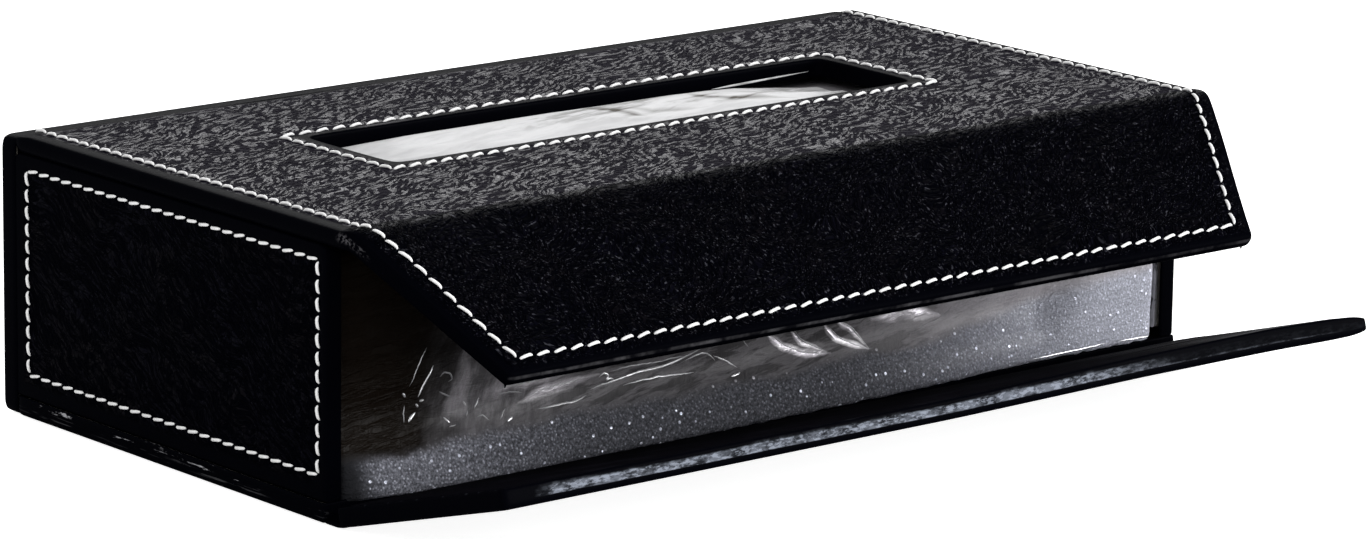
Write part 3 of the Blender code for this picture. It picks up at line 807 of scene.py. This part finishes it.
def applied(cage, name):
    """A new object with the cage's evaluated mesh; the cage is removed."""
    graph = bpy.context.evaluated_depsgraph_get()
    graph.update()
    final = cage.evaluated_get(graph)
    mesh = bpy.data.meshes.new_from_object(final, preserve_all_data_layers=True, depsgraph=graph)
    mesh.name = name
    made = linked(name, mesh)
    bpy.data.objects.remove(cage, do_unlink=True)
    return made


def dressed(piece, material, bodies, nodes=()):
    """Gives a piece its finish and its body, and hides the frame's nodes that it stands for; a piece over two
    bodies only has its placement baked in.
    """
    mesh = piece.data
    mesh.shade_smooth()
    mesh.materials.clear()
    mesh.materials.append(material[0])
    if isinstance(bodies, str):
        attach(piece, bodies)
    else:
        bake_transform(piece)
    if nodes:
        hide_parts(*nodes)
    return piece


def from_bmesh(name, bm, material, bodies, nodes=()):
    """A dressed piece with the shape of a bmesh, which is freed."""
    mesh = bpy.data.meshes.new(name)
    bm.to_mesh(mesh)
    bm.free()
    return dressed(linked(name, mesh), material, bodies, nodes)


# Where a point of each layout is on the box


def wrap_half(s):
    """Half the wrap's length, which tapers along the flap."""
    if s <= 0:
        return HALF_LENGTH
    if s < FOLD_LENGTH:
        return HALF_LENGTH - TAPER * TANGENT * s / FOLD_LENGTH
    return HALF_LENGTH - TAPER * (s - FOLD_LENGTH + TANGENT)


def on_wrap(x, s, n):
    """Over the top, round the fold and down the flap."""
    middle = HALF_LENGTH - EDGE_WIDTH
    narrowed = wrap_half(s) - HALF_LENGTH
    x += math.copysign(min(abs(x) / middle, 1.0), x) * narrowed
    if s <= 0:
        return x, FOLD_Y - s, FOLD_Z + FOLD_RADIUS + n
    turn = min(s / FOLD_RADIUS, FLAP_DROP)
    reach = max(s - FOLD_LENGTH, 0)
    radius = FOLD_RADIUS + n
    y = FOLD_Y - radius * math.sin(turn) - reach * math.cos(turn)
    return x, y, FOLD_Z + radius * math.cos(turn) - reach * math.sin(turn)


def over_fold():
    """The two bodies of a piece that crosses the fold, and the line on which it bends."""
    start = Vector((0, FOLD_Y * MM, HEIGHT * MM))
    end = Vector(on_wrap(0, FOLD_LENGTH + 5.3, 0)) * MM
    return "case", "flap", start, end


def on_back(x, z, n):
    return x, BACK + n, z


def on_base(x, y, n):
    return x, -y, -n


def on_left_end(y, z, n):
    return -HALF_LENGTH - n, -y, z


def on_right_end(y, z, n):
    return HALF_LENGTH + n, y, z


def on_wall(x, reach, n):
    """Out from the crease; n is measured down from the wall's outer face, which looks at the table.

    The board is soft: beyond its middle it is bowed up and swollen, and its right tip is longer and thinner.
    """
    share = max(reach, 0) / WALL_REACH
    lifted = between(x, (0, 55, 95, 120), (0, 0.62, 0.58, 0.1)) * share
    swell = between(x, (0, 55, 95, 120), (0, 0.35, 0.6, 0.2)) * share
    past, tip = limited((x - 98.0) / 22.0, 1.02), limited((x - 113.0) / 7.2)
    kept = 1 - share * (1 - math.sqrt(1 - 0.68 * tip * tip))
    n = (n - swell * limited(-n / PANEL) + PANEL / 2) * kept - PANEL / 2
    x += 1.3 * past * past * share
    out, down = reach + 0.5 * past * share, CREASE_Z + n - lifted
    y = CREASE_Y - out * math.cos(WALL_RISE) - down * math.sin(WALL_RISE)
    return x, y, CREASE_Z + out * math.sin(WALL_RISE) - down * math.cos(WALL_RISE)


# Leather pieces


def wave(x, y, size, amount):
    return lumps(x / size, y / size, 0.37) * amount


def puff(s):
    """How much the leather stands off just below the fold."""
    return between(s, (-1.0, 4.0, 14.0, 34.0), (0.0, 1.1, 1.1, 0.0))


def slot_lines(low, high, step):
    """The lines of the wrap's grid over the slot and the hems on both its sides."""
    lines = [low - outset for outset in reversed(HEM)] + spaced(low + HEM_LIP, high - HEM_LIP, step)
    return lines + [high - HEM_LIP] + [high + outset for outset in HEM[:-1]]


def wrap_leather(leather):
    """One sheet over the top panel, the fold and the flap, with the tissue slot let into it."""
    left, right, back, front = SLOT
    hem_width = HEM[-1]
    side = HALF_LENGTH + OVER
    columns = towards(-side, 0, EDGE_INSETS[:-1]) + spaced(-side + EDGE_WIDTH, left - hem_width, 8.4)
    columns += slot_lines(left, right, 8.8) + spaced(right + hem_width, side - EDGE_WIDTH, 8.4)
    columns += towards(side, 0, reversed(EDGE_INSETS))
    rows = towards(TOP_BACK, 0, PLAIN_INSETS) + spaced(TOP_BACK + 6.2, back - hem_width, 8.0)
    rows += slot_lines(back, front, 9.0) + spaced(front + hem_width, -4.0, 8.0)
    rows += [-4.0, -1.6, 0.2, 1.8, 3.6, 6.0] + spaced(9.5, FREE_EDGE - 6.2, 7.0)
    rows += towards(FREE_EDGE, 0, (6.2, 5.0, FREE_SEAM, 2.9, 1.8, 0.9, 0.3, 0.0))
    sheet = Sheet(columns, rows)
    sheet.cut_hole(left, right, back, front)
    back_fall = ((0.0, -1.5), (0.3, -1.15), (0.9, -0.86), (2.2, -0.70), (4.2, -0.30), (6.0, 0.0))
    free_fall = ((0.0, -2.0), (0.3, -1.2), (0.9, -0.62), (1.8, -0.25))
    free_fall += ((2.9, 0.0), (FREE_SEAM, -0.2), (5.0, 0.0))
    hem_fall = tuple(zip(HEM, (-0.08, 0.10, 0.22, 0.10, -0.34, 0.0)))
    centre = Vector(((left + right) / 2, (back + front) / 2))
    half = Vector(((right - left) / 2, (front - back) / 2))
    for vert in sheet.bm.verts:
        x, s = vert.co.x, vert.co.y
        at_back = fall(back_fall, s - TOP_BACK) * (1 - 0.8 * limited((x - 60) / 60))
        height = min(fall(EDGE_FALL, side - abs(x)), at_back, fall(free_fall, FREE_EDGE - s))
        height += puff(s) * (0.3 + 0.7 * limited((abs(x) - 95) / 20))
        outset = Vector((abs(x - centre.x) - half.x, abs(s - centre.y) - half.y))
        height += fall(hem_fall, max(max(outset), 0)) if max(outset) < hem_width else 0
        calm = min(1.0, max(max(outset) - 4, 0) / 8, max(HALF_LENGTH - abs(x) - 4, 0) / 12)
        vert.co.z = height + calm * (wave(x, s, 38.0, 0.30) + wave(x, s, 13.0, 0.10))
        fade = 1 - limited((max(outset) - 1.1) / 2.6)
        if min(outset) > -SLOT_ROUND and fade > 0:
            a, b = rounded_corner(-outset.x, -outset.y, SLOT_ROUND)
            vert.co.x -= math.copysign((a + outset.x) * fade, x - centre.x)
            vert.co.y -= math.copysign((b + outset.y) * fade, s - centre.y)
    sheet.turn_rim(SOFT_RIM)
    turn_slot(sheet, centre, half)
    nodes = ("top_cover", "flap_fold", "flap_cover")
    sheet.laid("wrap_leather", on_wrap, (2.0, 1.2), leather, over_fold(), nodes)


def turn_slot(sheet, centre, half):
    """Leather down through the slot and under the board."""
    def at_slot(vert):
        return abs(vert.co.x - centre.x) < half.x + 1 and abs(vert.co.y - centre.y) < half.y + 1

    ring = sheet.edge_ring(at_slot)
    last = 0.0
    for outset, height in ((0.0, -2.3), (0.0, -3.6), (0.35, -4.2), (1.1, -PANEL)):
        verts, ring = sheet.drawn_on(ring)
        for vert in verts:
            offset = vert.co.xy - centre
            past = [max(abs(offset[i]) - half[i] + SLOT_ROUND, 0) for i in (0, 1)]
            away = Vector(past).normalized() * (outset - last)
            vert.co.x += math.copysign(away.x, offset.x)
            vert.co.y += math.copysign(away.y, offset.y)
            vert.co.z = height
        last = outset


def panel_leather(name, size, place, leather, body, nodes, radii=(2.4, 2.4), seams=None, open_low=False,
                  rim=SQUARE_RIM):
    """A board's own leather.

    size is the low x, high x, low y and high y of its layout, and seams are the lines in x and in y that its
    stitches draw in.
    """
    low_x, high_x, low_y, high_y = size
    low_x, high_x, high_y = low_x - OVER, high_x + OVER, high_y + OVER
    low_y -= 0 if open_low else OVER
    sides = seams or ((), ())
    lines = []
    for low, high, extra in ((low_x, high_x, sides[0]), (low_y, high_y, sides[1])):
        near = [low + inset for inset in PLAIN_INSETS] + [high - inset for inset in PLAIN_INSETS]
        for seam in extra:
            near = [line for line in near if abs(line - seam) > 0.7] + [seam]
        middle = spaced(low + PLAIN_INSETS[-1], high - PLAIN_INSETS[-1], 6.0)[1:]
        near += [line for line in middle if all(abs(line - seam) > 2.4 for seam in extra)]
        lines.append(sorted(near))
    if open_low:
        lines[1] = [low_y] + [line for line in lines[1] if line > low_y + 3]
    sheet = Sheet(lines[0], lines[1], open_low)
    for vert in sheet.bm.verts:
        x, y = vert.co.xy
        across, along = sheet.insets(vert.co)
        height = min(fall(PLAIN_FALL, across), fall(PLAIN_FALL, along))
        if seams:
            in_x = sides[0][0] - 0.1 < x < sides[0][1] + 0.1
            in_y = sides[1][0] - 0.1 < y < sides[1][1] + 0.1
            on_line = any(abs(x - seam) < 0.01 for seam in sides[0]) and in_y
            on_line = on_line or (any(abs(y - seam) < 0.01 for seam in sides[1]) and in_x)
            height -= 0.25 if on_line else 0
        calm = min(1.0, max(min(across, along) - 3, 0) / 10)
        vert.co.z = height + calm * (wave(x, y, 30.0, 0.26) + wave(x, y, 11.0, 0.08))
    sheet.turn_rim(rim)
    sheet.laid(name, place, radii, leather, body, nodes)


def crease_leather(leather):
    """The outer leather between the base and the front wall, which bends at the crease."""
    rows = [-5.2, -3.4, -1.7, -0.6, 0.4, 1.4, 2.6]
    columns = [-HALF_LENGTH + 0.2] + spaced(-HALF_LENGTH + 1.2, HALF_LENGTH - 1.2, 8.0)
    columns += [HALF_LENGTH - 1.2, HALF_LENGTH - 0.2]

    def place(x, s, n):
        if s <= 0:
            return x, CREASE_Y - s, -n
        return on_wall(x, s, n)

    start = Vector((0, (CREASE_Y + 0.8) * MM, 0))
    end = Vector(on_wall(0, 1.2, 0)) * MM
    bodies = ("case", "front_wall", start, end)
    Sheet(columns, rows).laid("crease_leather", place, (0, 0), leather, bodies, ("front_wall_fold",), 1)


def fold_lining(lining):
    """The lining's bend under the fold, from the top's board to the flap's."""
    rows = [-2.0, 0.0, 0.8, 1.6, 2.4, 3.3, 5.0, 7.0, 9.5]
    columns = spaced(-HALF_LENGTH + 2.4, HALF_LENGTH - 2.4, 8.0) + [HALF_LENGTH - 2.4]

    def place(x, s, n):
        return on_wrap(x, s, n - PANEL + LEATHER + 0.05)

    Sheet(columns, rows).laid("fold_lining", place, (0, 0), lining, over_fold(), (), 1)


# Stitching


class Seam:
    """Stitches sewn along lines of a layout, as one piece."""

    def __init__(self, place, tilt=0.05, proud=0.34):
        self.bm = bmesh.new()
        self.place, self.tilt, self.proud = place, tilt, proud
        self.slant = -STITCH_SLANT if mirrors(place) else STITCH_SLANT

    def sew(self, start, end, pitch):
        """Stitches from one point of the layout to another, evenly spaced at about the pitch."""
        start, end = Vector(start), Vector(end)
        count = max(1, round((end - start).length / pitch))
        for i in range(count):
            self.stitch(start.lerp(end, (i + 0.5) / count), (end - start) / count)

    def sew_round(self, left, right, low, high, pitches):
        """A rectangle; the pitches are those of its low side, its high side and its two ends."""
        for y, pitch in zip((low, high), pitches):
            self.sew((left, y), (right, y), pitch)
        for x in (left, right):
            self.sew((x, low), (x, high), pitches[2])

    def sew_sides(self, low, high, pitch):
        """A row near each end of the box."""
        for x in (SIDE_SEAM - HALF_LENGTH, HALF_LENGTH - SIDE_SEAM):
            self.sew((x, low), (x, high), pitch)

    def stitch(self, middle, step):
        """One stitch: a thread with full ends that dips into its two holes, slanted and of its own length."""
        seed = noise.noise(Vector((middle.x, middle.y, 3.1)) * 0.9)
        reach = step * STITCH_SHARE / 2 * (1 + 0.10 * seed)
        reach.rotate(Matrix.Rotation(self.slant * (1 + seed), 2))
        tail, head = middle - reach, middle + reach
        rear = Vector(self.place(tail.x, tail.y, 0))
        fore = Vector(self.place(head.x, head.y, 0))
        seat = Vector(self.place(middle.x, middle.y, 0))
        above = Vector(self.place(middle.x, middle.y, 1))
        up = (above - seat).normalized()
        along = (fore - rear).normalized()
        side = up.cross(along)
        verts = bmesh.ops.create_uvsphere(self.bm, u_segments=8, v_segments=8, radius=1)["verts"]
        for vert in verts:
            across, rise, run = vert.co
            girth = (1 - run**6) ** 0.5 / max((1 - run * run) ** 0.5, 0.25) if abs(run) < 0.999 else 1
            sink = 0.50 * abs(run) ** 3.5 - self.tilt * run
            sweep = 0.04 * math.sin(math.pi * run)
            point = seat + along * run * (fore - rear).length / 2
            point += side * (across * girth * THREAD / 2 + sweep)
            point += up * (THREAD * (rise * girth * 0.46 + self.proud) - sink)
            vert.co = point * MM

    def finished(self, name, thread, bodies):
        from_bmesh(name, self.bm, thread, bodies)


def all_stitching(thread):
    case = Seam(on_wrap, 0.14)
    case.sew_sides(TOP_BACK + 1.2, FOLD_SEAM_START, 4.0)
    case.proud = 0.16
    left, right, back, front = SLOT
    left, right = left - SLOT_SEAM - 0.2, right + SLOT_SEAM + 0.2
    case.sew_round(left, right, back - SLOT_SEAM, front + SLOT_SEAM, (4.55, 4.15, 4.3))
    case.finished("top_stitching", thread, "case")

    def on_puff(x, s, n):
        return on_wrap(x, s, n + puff(s))

    bend = Seam(on_puff)
    bend.sew_sides(FOLD_SEAM_START, FOLD_SEAM_END, 3.4)
    bend.finished("fold_stitching", thread, over_fold())

    flap = Seam(on_puff)
    free = FREE_EDGE - FREE_SEAM
    flap.sew_sides(FOLD_SEAM_END, free, 3.6)
    flap.sew((SIDE_SEAM - HALF_LENGTH, free), (HALF_LENGTH - SIDE_SEAM, free), 5.0)
    flap.finished("flap_stitching", thread, "flap")

    rear = Seam(on_back)
    rear.sew_sides(3.0, HEIGHT - 3.5, 4.0)
    rear.finished("back_stitching", thread, "case")

    for name, place, near, far in (
        ("left_end_stitching", on_left_end, -END_SEAM_BACK, -END_SEAM_FRONT),
        ("right_end_stitching", on_right_end, END_SEAM_FRONT, END_SEAM_BACK),
    ):
        seam = Seam(place)
        seam.sew_round(near, far, END_SEAM_LOW, END_SEAM_HIGH, (4.15, 4.15, 3.7))
        seam.finished(name, thread, "case")


# Tissue pack


def pack_block(name, low, high, round_edges, step, shape, material, nodes):
    """A soft block: a box with rounded edges, divided finely and then pushed about by a function."""
    bm = bmesh.new()
    bmesh.ops.create_cube(bm, size=1)
    bmesh.ops.scale(bm, verts=bm.verts, vec=high - low)
    bmesh.ops.translate(bm, verts=bm.verts, vec=(low + high) / 2)
    bmesh.ops.bevel(
        bm, geom=bm.edges, offset=round_edges, segments=4, profile=0.5, affect="EDGES", material=-1,
    )
    for axis in range(3):
        normal = Vector([1.0 if i == axis else 0.0 for i in range(3)])
        for line in spaced(low[axis] + step, high[axis] - step / 2, step):
            middle = Vector((low + high) / 2)
            middle[axis] = line
            geometry = list(bm.verts) + list(bm.edges) + list(bm.faces)
            bmesh.ops.bisect_plane(bm, geom=geometry, dist=1e-6, plane_co=middle, plane_no=normal)
    for vert in bm.verts:
        vert.co += shape(vert.co / MM) * MM
    bmesh.ops.recalc_face_normals(bm, faces=bm.faces)
    return from_bmesh(name, bm, material, "case", nodes)


def stack_shape(point):
    soft = noise.noise(point / 26.0) * 0.5 + noise.noise(point / 9.0) * 0.18
    inwards = 1.3 if point.y < -40 else 0
    return Vector((0, inwards + soft, soft - 0.35))


def film_shape(point):
    """The film bellies out towards the base's front edge, and is drawn into long ridges above."""
    x, y, z = point
    front = limited((-43.0 - y) / 5.0)
    low = limited((9.0 - z) / 3.0)
    upper = limited((z - 12.0) / 8.0)
    top = limited((z - 50.0) / 5.0) * (1 - front)
    soft = lumps(x / 30.0, z / 22.0, 1.7) * 0.7
    ridge = (1 - abs(lumps((x + 2.2 * z) / 34.0, (z - 0.2 * x) / 5.5, 5.1)) * 2.2) * 0.6
    small = lumps((x - z) / 7.0, (z + 0.3 * x) / 2.6, 2.2) * 0.22
    share = limited((z - 6.0 - 21.0 * limited((x - 80.0) / 22.0)) / 13.0)
    belly = 4.6 * (1 - share * share * (3 - 2 * share)) * min(1, 0.35 + (115.6 - abs(x)) / 2.4)
    push = front * (1.3 + belly + soft * upper + (ridge + small) * upper)
    most = 6.0 + 0.6 * low * limited((70.0 - x) / 20.0)
    sag = between(x, (-118, -100, -80, 0, 40, 80), (0.6, 1.5, 1.9, 1.4, 0.9, 0.2))
    sag += 0.5 * lumps(x / 2.4, 3.1, 0)
    drawn_in = -0.42 * front * belly * limited((x - 102.0) / 13.0)
    lifted = top * (0.35 + soft * 0.25) - (0.5 + sag) * front * low
    return Vector((drawn_in, -min(push + most - 6.0, most), lifted))


def tissue_pack(stack, film, highlight_strips):
    low, high = map(Vector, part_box("tissue_stack"))
    pack_block("folded_tissues", low, high, 0.0030, 0.0040, stack_shape, stack, ("tissue_stack",))
    low, high = map(Vector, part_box("pack_film"))
    wrap = pack_block("pack_wrap", low, high, 0.0018, 0.0024, film_shape, film, ("pack_film",))
    film_crease_highlights(wrap, highlight_strips)


def film_crease_highlights(wrap, highlight_strips):
    """Narrow ridges on the front of the film, thinning out at both ends, which carry painted highlights."""
    mesh = wrap.data
    corners = [vert.co for vert in mesh.vertices]
    front = BVHTree.FromPolygons(corners, [face.vertices for face in mesh.polygons])
    bm = bmesh.new()
    shown = bm.verts.layers.float.new("highlight_strength")
    for width, highlight_strength, points in FILM_CREASE_HIGHLIGHTS:
        reaches = [0.0]
        for a, b in zip(points, points[1:]):
            reaches.append(reaches[-1] + math.dist(a, b))

        def at(share):
            return Vector([between(share * reaches[-1], reaches, places) for places in zip(*points)])

        count = 6 * len(points)
        for vert in bmesh.ops.create_grid(bm, x_segments=count, y_segments=4, size=1)["verts"]:
            share, across = (vert.co.x + 1) / 2, vert.co.y
            middle = (at(max(share - 0.04, 0)) + at(share) + at(min(share + 0.04, 1))) / 3
            way = (at(min(share + 0.06, 1)) - at(max(share - 0.06, 0))).normalized()
            taper = max(1 - abs(2 * share - 1) ** 2.5, 0) ** 0.7
            jog = 0.12 * lumps(share * reaches[-1] * 1.3, width, points[0][0])
            x, z = middle + Vector((-way.y, way.x)) * (across * width / 2 * taper + jog)
            hit = front.ray_cast(Vector((x * MM, -0.1, z * MM)), Vector((0, 1, 0)))[0]
            vert.co = hit + Vector((0, (0.06 - 0.22 * (1 - across * across) * taper) * MM, 0))
            vert[shown] = highlight_strength * taper
    bmesh.ops.recalc_face_normals(bm, faces=bm.faces)
    for face in bm.faces:
        if face.normal.y > 0:
            face.normal_flip()
    from_bmesh("pack_wrap_crease_highlights", bm, highlight_strips, "case")


def drawn_tissue(tissue):
    """The top tissue where it fills the slot, in soft folds, and the thin strip of it along the far wall."""
    bm = bmesh.new()
    bmesh.ops.create_grid(bm, x_segments=150, y_segments=56, size=1)
    half_x, half_y = 72.2, 15.4
    middle_y = -1.5
    floor = 55.6
    crest_places = (-66, -48, -20, 6, 23, 37, 45, 58, 66, 74)
    crest_heights = (59.7, 60.1, 60.3, 60.1, 60.1, 59.8, 59.4, 57.9, 56.9, 56.4)
    for vert in bm.verts:
        u, v = vert.co.xy
        x, y = u * half_x, v * half_y
        end = min((1 - abs(u)) * half_x, (1 - abs(v)) * half_y)
        wall = 1 - (1 - limited(end / 2.4)) ** 2.2
        crest = between(x, crest_places, crest_heights)
        calm = 1 - 0.85 * limited(v * 1.3)
        fold = lumps(x / 48.0, y / 6.0 + x / 90.0, 0.9) * (0.9 - 0.5 * v)
        crisp = 1 - abs(lumps(x / 30.0 + 7, (y + 0.12 * x) / 8.0, 4.2)) * 3
        ripple = lumps(x / 12.0, y / 3.0, 7.7) * 0.3
        height = crest + (fold + 0.4 * max(crisp, 0) + ripple) * calm - 0.8 * min(v, 0) ** 2
        z = floor + (height - floor) * wall
        vert.co = Vector((x, y + middle_y, z)) * MM
    for vert in bmesh.ops.create_grid(bm, x_segments=30, y_segments=2, size=1)["verts"]:
        share, high = (vert.co.x + 1) / 2, vert.co.y
        thin = (1 - abs(2 * share - 1) ** 3) * (0.30 - 0.16 * share)
        vert.co = Vector((40.0 + 29.0 * share, 13.5, 59.4 + 0.7 * share + high * thin)) * MM
    piece = from_bmesh("drawn_tissue", bm, tissue, "case", ("top_tissue",))
    shell = piece.modifiers.new("Thickness", "SOLIDIFY")
    shell.thickness = 0.12 * MM
    shell.offset = -1


# Camera, light and table


def photographed_view():
    """The fitted camera: turned to the box's left, a little above it, with a long lens."""
    azimuth, rise, roll = map(math.radians, (VIEW_AZIMUTH, VIEW_RISE, VIEW_ROLL))
    out = Vector((math.sin(azimuth) * math.cos(rise), -math.cos(azimuth) * math.cos(rise), math.sin(rise)))
    right = (-out).cross(Vector((0, 0, 1))).normalized()
    up = right.cross(-out)
    turned_right = right * math.cos(roll) + up * math.sin(roll)
    turned_up = up * math.cos(roll) - right * math.sin(roll)
    place = Vector(VIEW_CENTRE) + out * VIEW_DISTANCE
    place += turned_right * VIEW_SHIFT[0] + turned_up * VIEW_SHIFT[1]
    data = bpy.data.cameras.new("camera")
    data.sensor_width = SENSOR_WIDTH
    data.lens = FOCAL_PIXELS / PHOTO_WIDTH * SENSOR_WIDTH
    data.clip_end = 20.0
    camera = linked("camera", data)
    basis = Matrix((turned_right, turned_up, out)).transposed().to_4x4()
    camera.matrix_world = Matrix.Translation(place * MM) @ basis
    bpy.context.scene.camera = camera


def softbox(name, place, aim, size, power):
    data = bpy.data.lights.new(name, "AREA")
    data.shape = "RECTANGLE"
    data.size, data.size_y = size
    data.energy = power
    lamp = linked(name, data)
    lamp.location = place
    lamp.rotation_euler = (Vector(aim) - Vector(place)).to_track_quat("-Z", "Y").to_euler()


def studio():
    """A pale room, brighter where it is seen or mirrored than where it only lights, with three lamps."""
    world = bpy.data.worlds.new("studio")
    bpy.context.scene.world = world
    world.use_nodes = True
    tree = world.node_tree
    shown, glossy, through = (
        make(tree, "ShaderNodeLightPath", output=ray)
        for ray in ("Is Camera Ray", "Is Glossy Ray", "Is Transmission Ray")
    )
    strength = 0.42 + 0.58 * (shown + glossy + through).clamped()
    background = tree.nodes["Background"]
    background.inputs["Color"].default_value = (1, 1, 1, 1)
    tree.links.new(strength.socket, background.inputs["Strength"])
    lay_table()
    softbox("back light", (0.9, 1.3, 0.85), (0, 0, 0.05), (1.4, 0.8), 26)
    softbox("front light", (-1.1, -1.2, 1.3), (0, -0.03, 0.03), (1.2, 1.2), 17)
    softbox("low light", (1.0, -1.15, 0.34), (0.05, -0.06, 0.015), (0.8, 0.5), 16)


def lay_table():
    """The ground, which the camera sees as nearly white."""
    bm = bmesh.new()
    bmesh.ops.create_grid(bm, x_segments=1, y_segments=1, size=6)
    mesh = bpy.data.meshes.new("table")
    bm.to_mesh(mesh)
    bm.free()
    table = linked("table", mesh)
    table.location.z = -0.0004
    pale = Finish("table, pale", Base_Color=(0.86, 0.86, 0.86, 1), Roughness=0.9)
    pale.set("Emission Color", (1, 1, 1, 1))
    pale.set("Emission Strength", pale.node("ShaderNodeLightPath", output="Is Camera Ray") * 0.88)
    mesh.materials.append(pale.material)


def carried_over(board, lining, end, steel):
    """Finishes for the frame's own nodes that stay, by the first of these words in their names."""
    finishes = (
        ("_board", board), ("_end_lining", end), ("_lining", lining), ("magnet", steel), ("keeper", steel),
    )
    for name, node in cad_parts.items():
        fitting = [finish for word, finish in finishes if word in name]
        if fitting:
            node.data.materials.clear()
            node.data.materials.append(fitting[0])


def wall_lining(lining):
    """The front wall's lining, set in a little from the edges that its leather turns over."""
    margin = 1.3
    low_x, high_x, high_y = margin - HALF_LENGTH, HALF_LENGTH - margin, WALL_REACH - margin
    lines_x = towards(low_x, 0, (0, 0.5, 1.4, 3.0)) + spaced(low_x + 6, high_x - 6, 6.0)
    lines_x += towards(high_x, 0, (6, 3.0, 1.4, 0.5, 0))
    lines_y = [1.2] + spaced(4.0, high_y - 6, 6.0) + towards(high_y, 0, (6, 3.0, 1.4, 0.5, 0))
    sheet = Sheet(lines_x, lines_y, open_low=True)
    for vert in sheet.bm.verts:
        across, along = sheet.insets(vert.co)
        vert.co.z = fall(((0.0, -0.3), (1.4, 0.0)), min(across, along))

    def place(x, reach, n):
        return on_wall(x, reach, -PANEL - n)

    sheet.laid("wall_lining", place, (0, 5.0), lining, "front_wall", ("front_wall_lining",), 1)


def build():
    leather = (grained_leather(wear_and_highlight=flap_edge_highlights, top=True), "leather")
    panel_finish = (grained_leather("leatherette, black, panels", 0.35), "leather")
    base_finish = (grained_leather("leatherette, black, nicked", 0.35, base_edge), "leather")
    wall_finish = (grained_leather("leatherette, black, scuffed", 0.35, wall_edge), "leather")
    lining = (cloth_lining(), "lining")
    thread = (thread_finish(), "leather")
    wrap_leather(leather)
    across = (-HALF_LENGTH, HALF_LENGTH)
    heights = (END_SEAM_LOW, END_SEAM_HIGH)
    panel_leather(
        "back_leather", (*across, 0, BACK_LEATHER_TOP), on_back, panel_finish, "case", ("back_cover",),
        rim=DEEP_RIM,
    )
    panel_leather(
        "base_leather", (*across, -BACK_PANEL_FRONT, -BASE_FRONT), on_base, base_finish, "case",
        ("base_cover",), radii=(2.4, 0.4),
    )
    panel_leather(
        "left_end_leather", (-BACK_PANEL_FRONT, -BASE_FRONT, END_LOW, END_HIGH), on_left_end, panel_finish,
        "case", ("left_end_cover",), radii=(0.4, 2.0), seams=((-END_SEAM_BACK, -END_SEAM_FRONT), heights),
    )
    panel_leather(
        "right_end_leather", (BASE_FRONT, BACK_PANEL_FRONT, END_LOW, END_HIGH), on_right_end, panel_finish,
        "case", ("right_end_cover",), radii=(0.4, 2.0), seams=((END_SEAM_FRONT, END_SEAM_BACK), heights),
    )
    panel_leather(
        "wall_leather", (*across, WALL_START, WALL_REACH), on_wall, wall_finish, "front_wall",
        ("front_wall_cover",), radii=(0, 1.2), open_low=True,
    )
    crease_leather(panel_finish)
    fold_lining(lining)
    wall_lining((cloth_lining("lining, black, streaked", True), "lining"))
    all_stitching(thread)
    tissue_pack((folded_stack(), "tissue"), (film_finish(), "film"), (crease_highlight_finish(), "film"))
    drawn_tissue((tissue_finish(), "tissue"))
    carried_over(grey_board(), lining[0], end_lining(), plated_steel())


bpy.context.scene.view_settings.view_transform = "Standard"
photographed_view()
studio()
build()
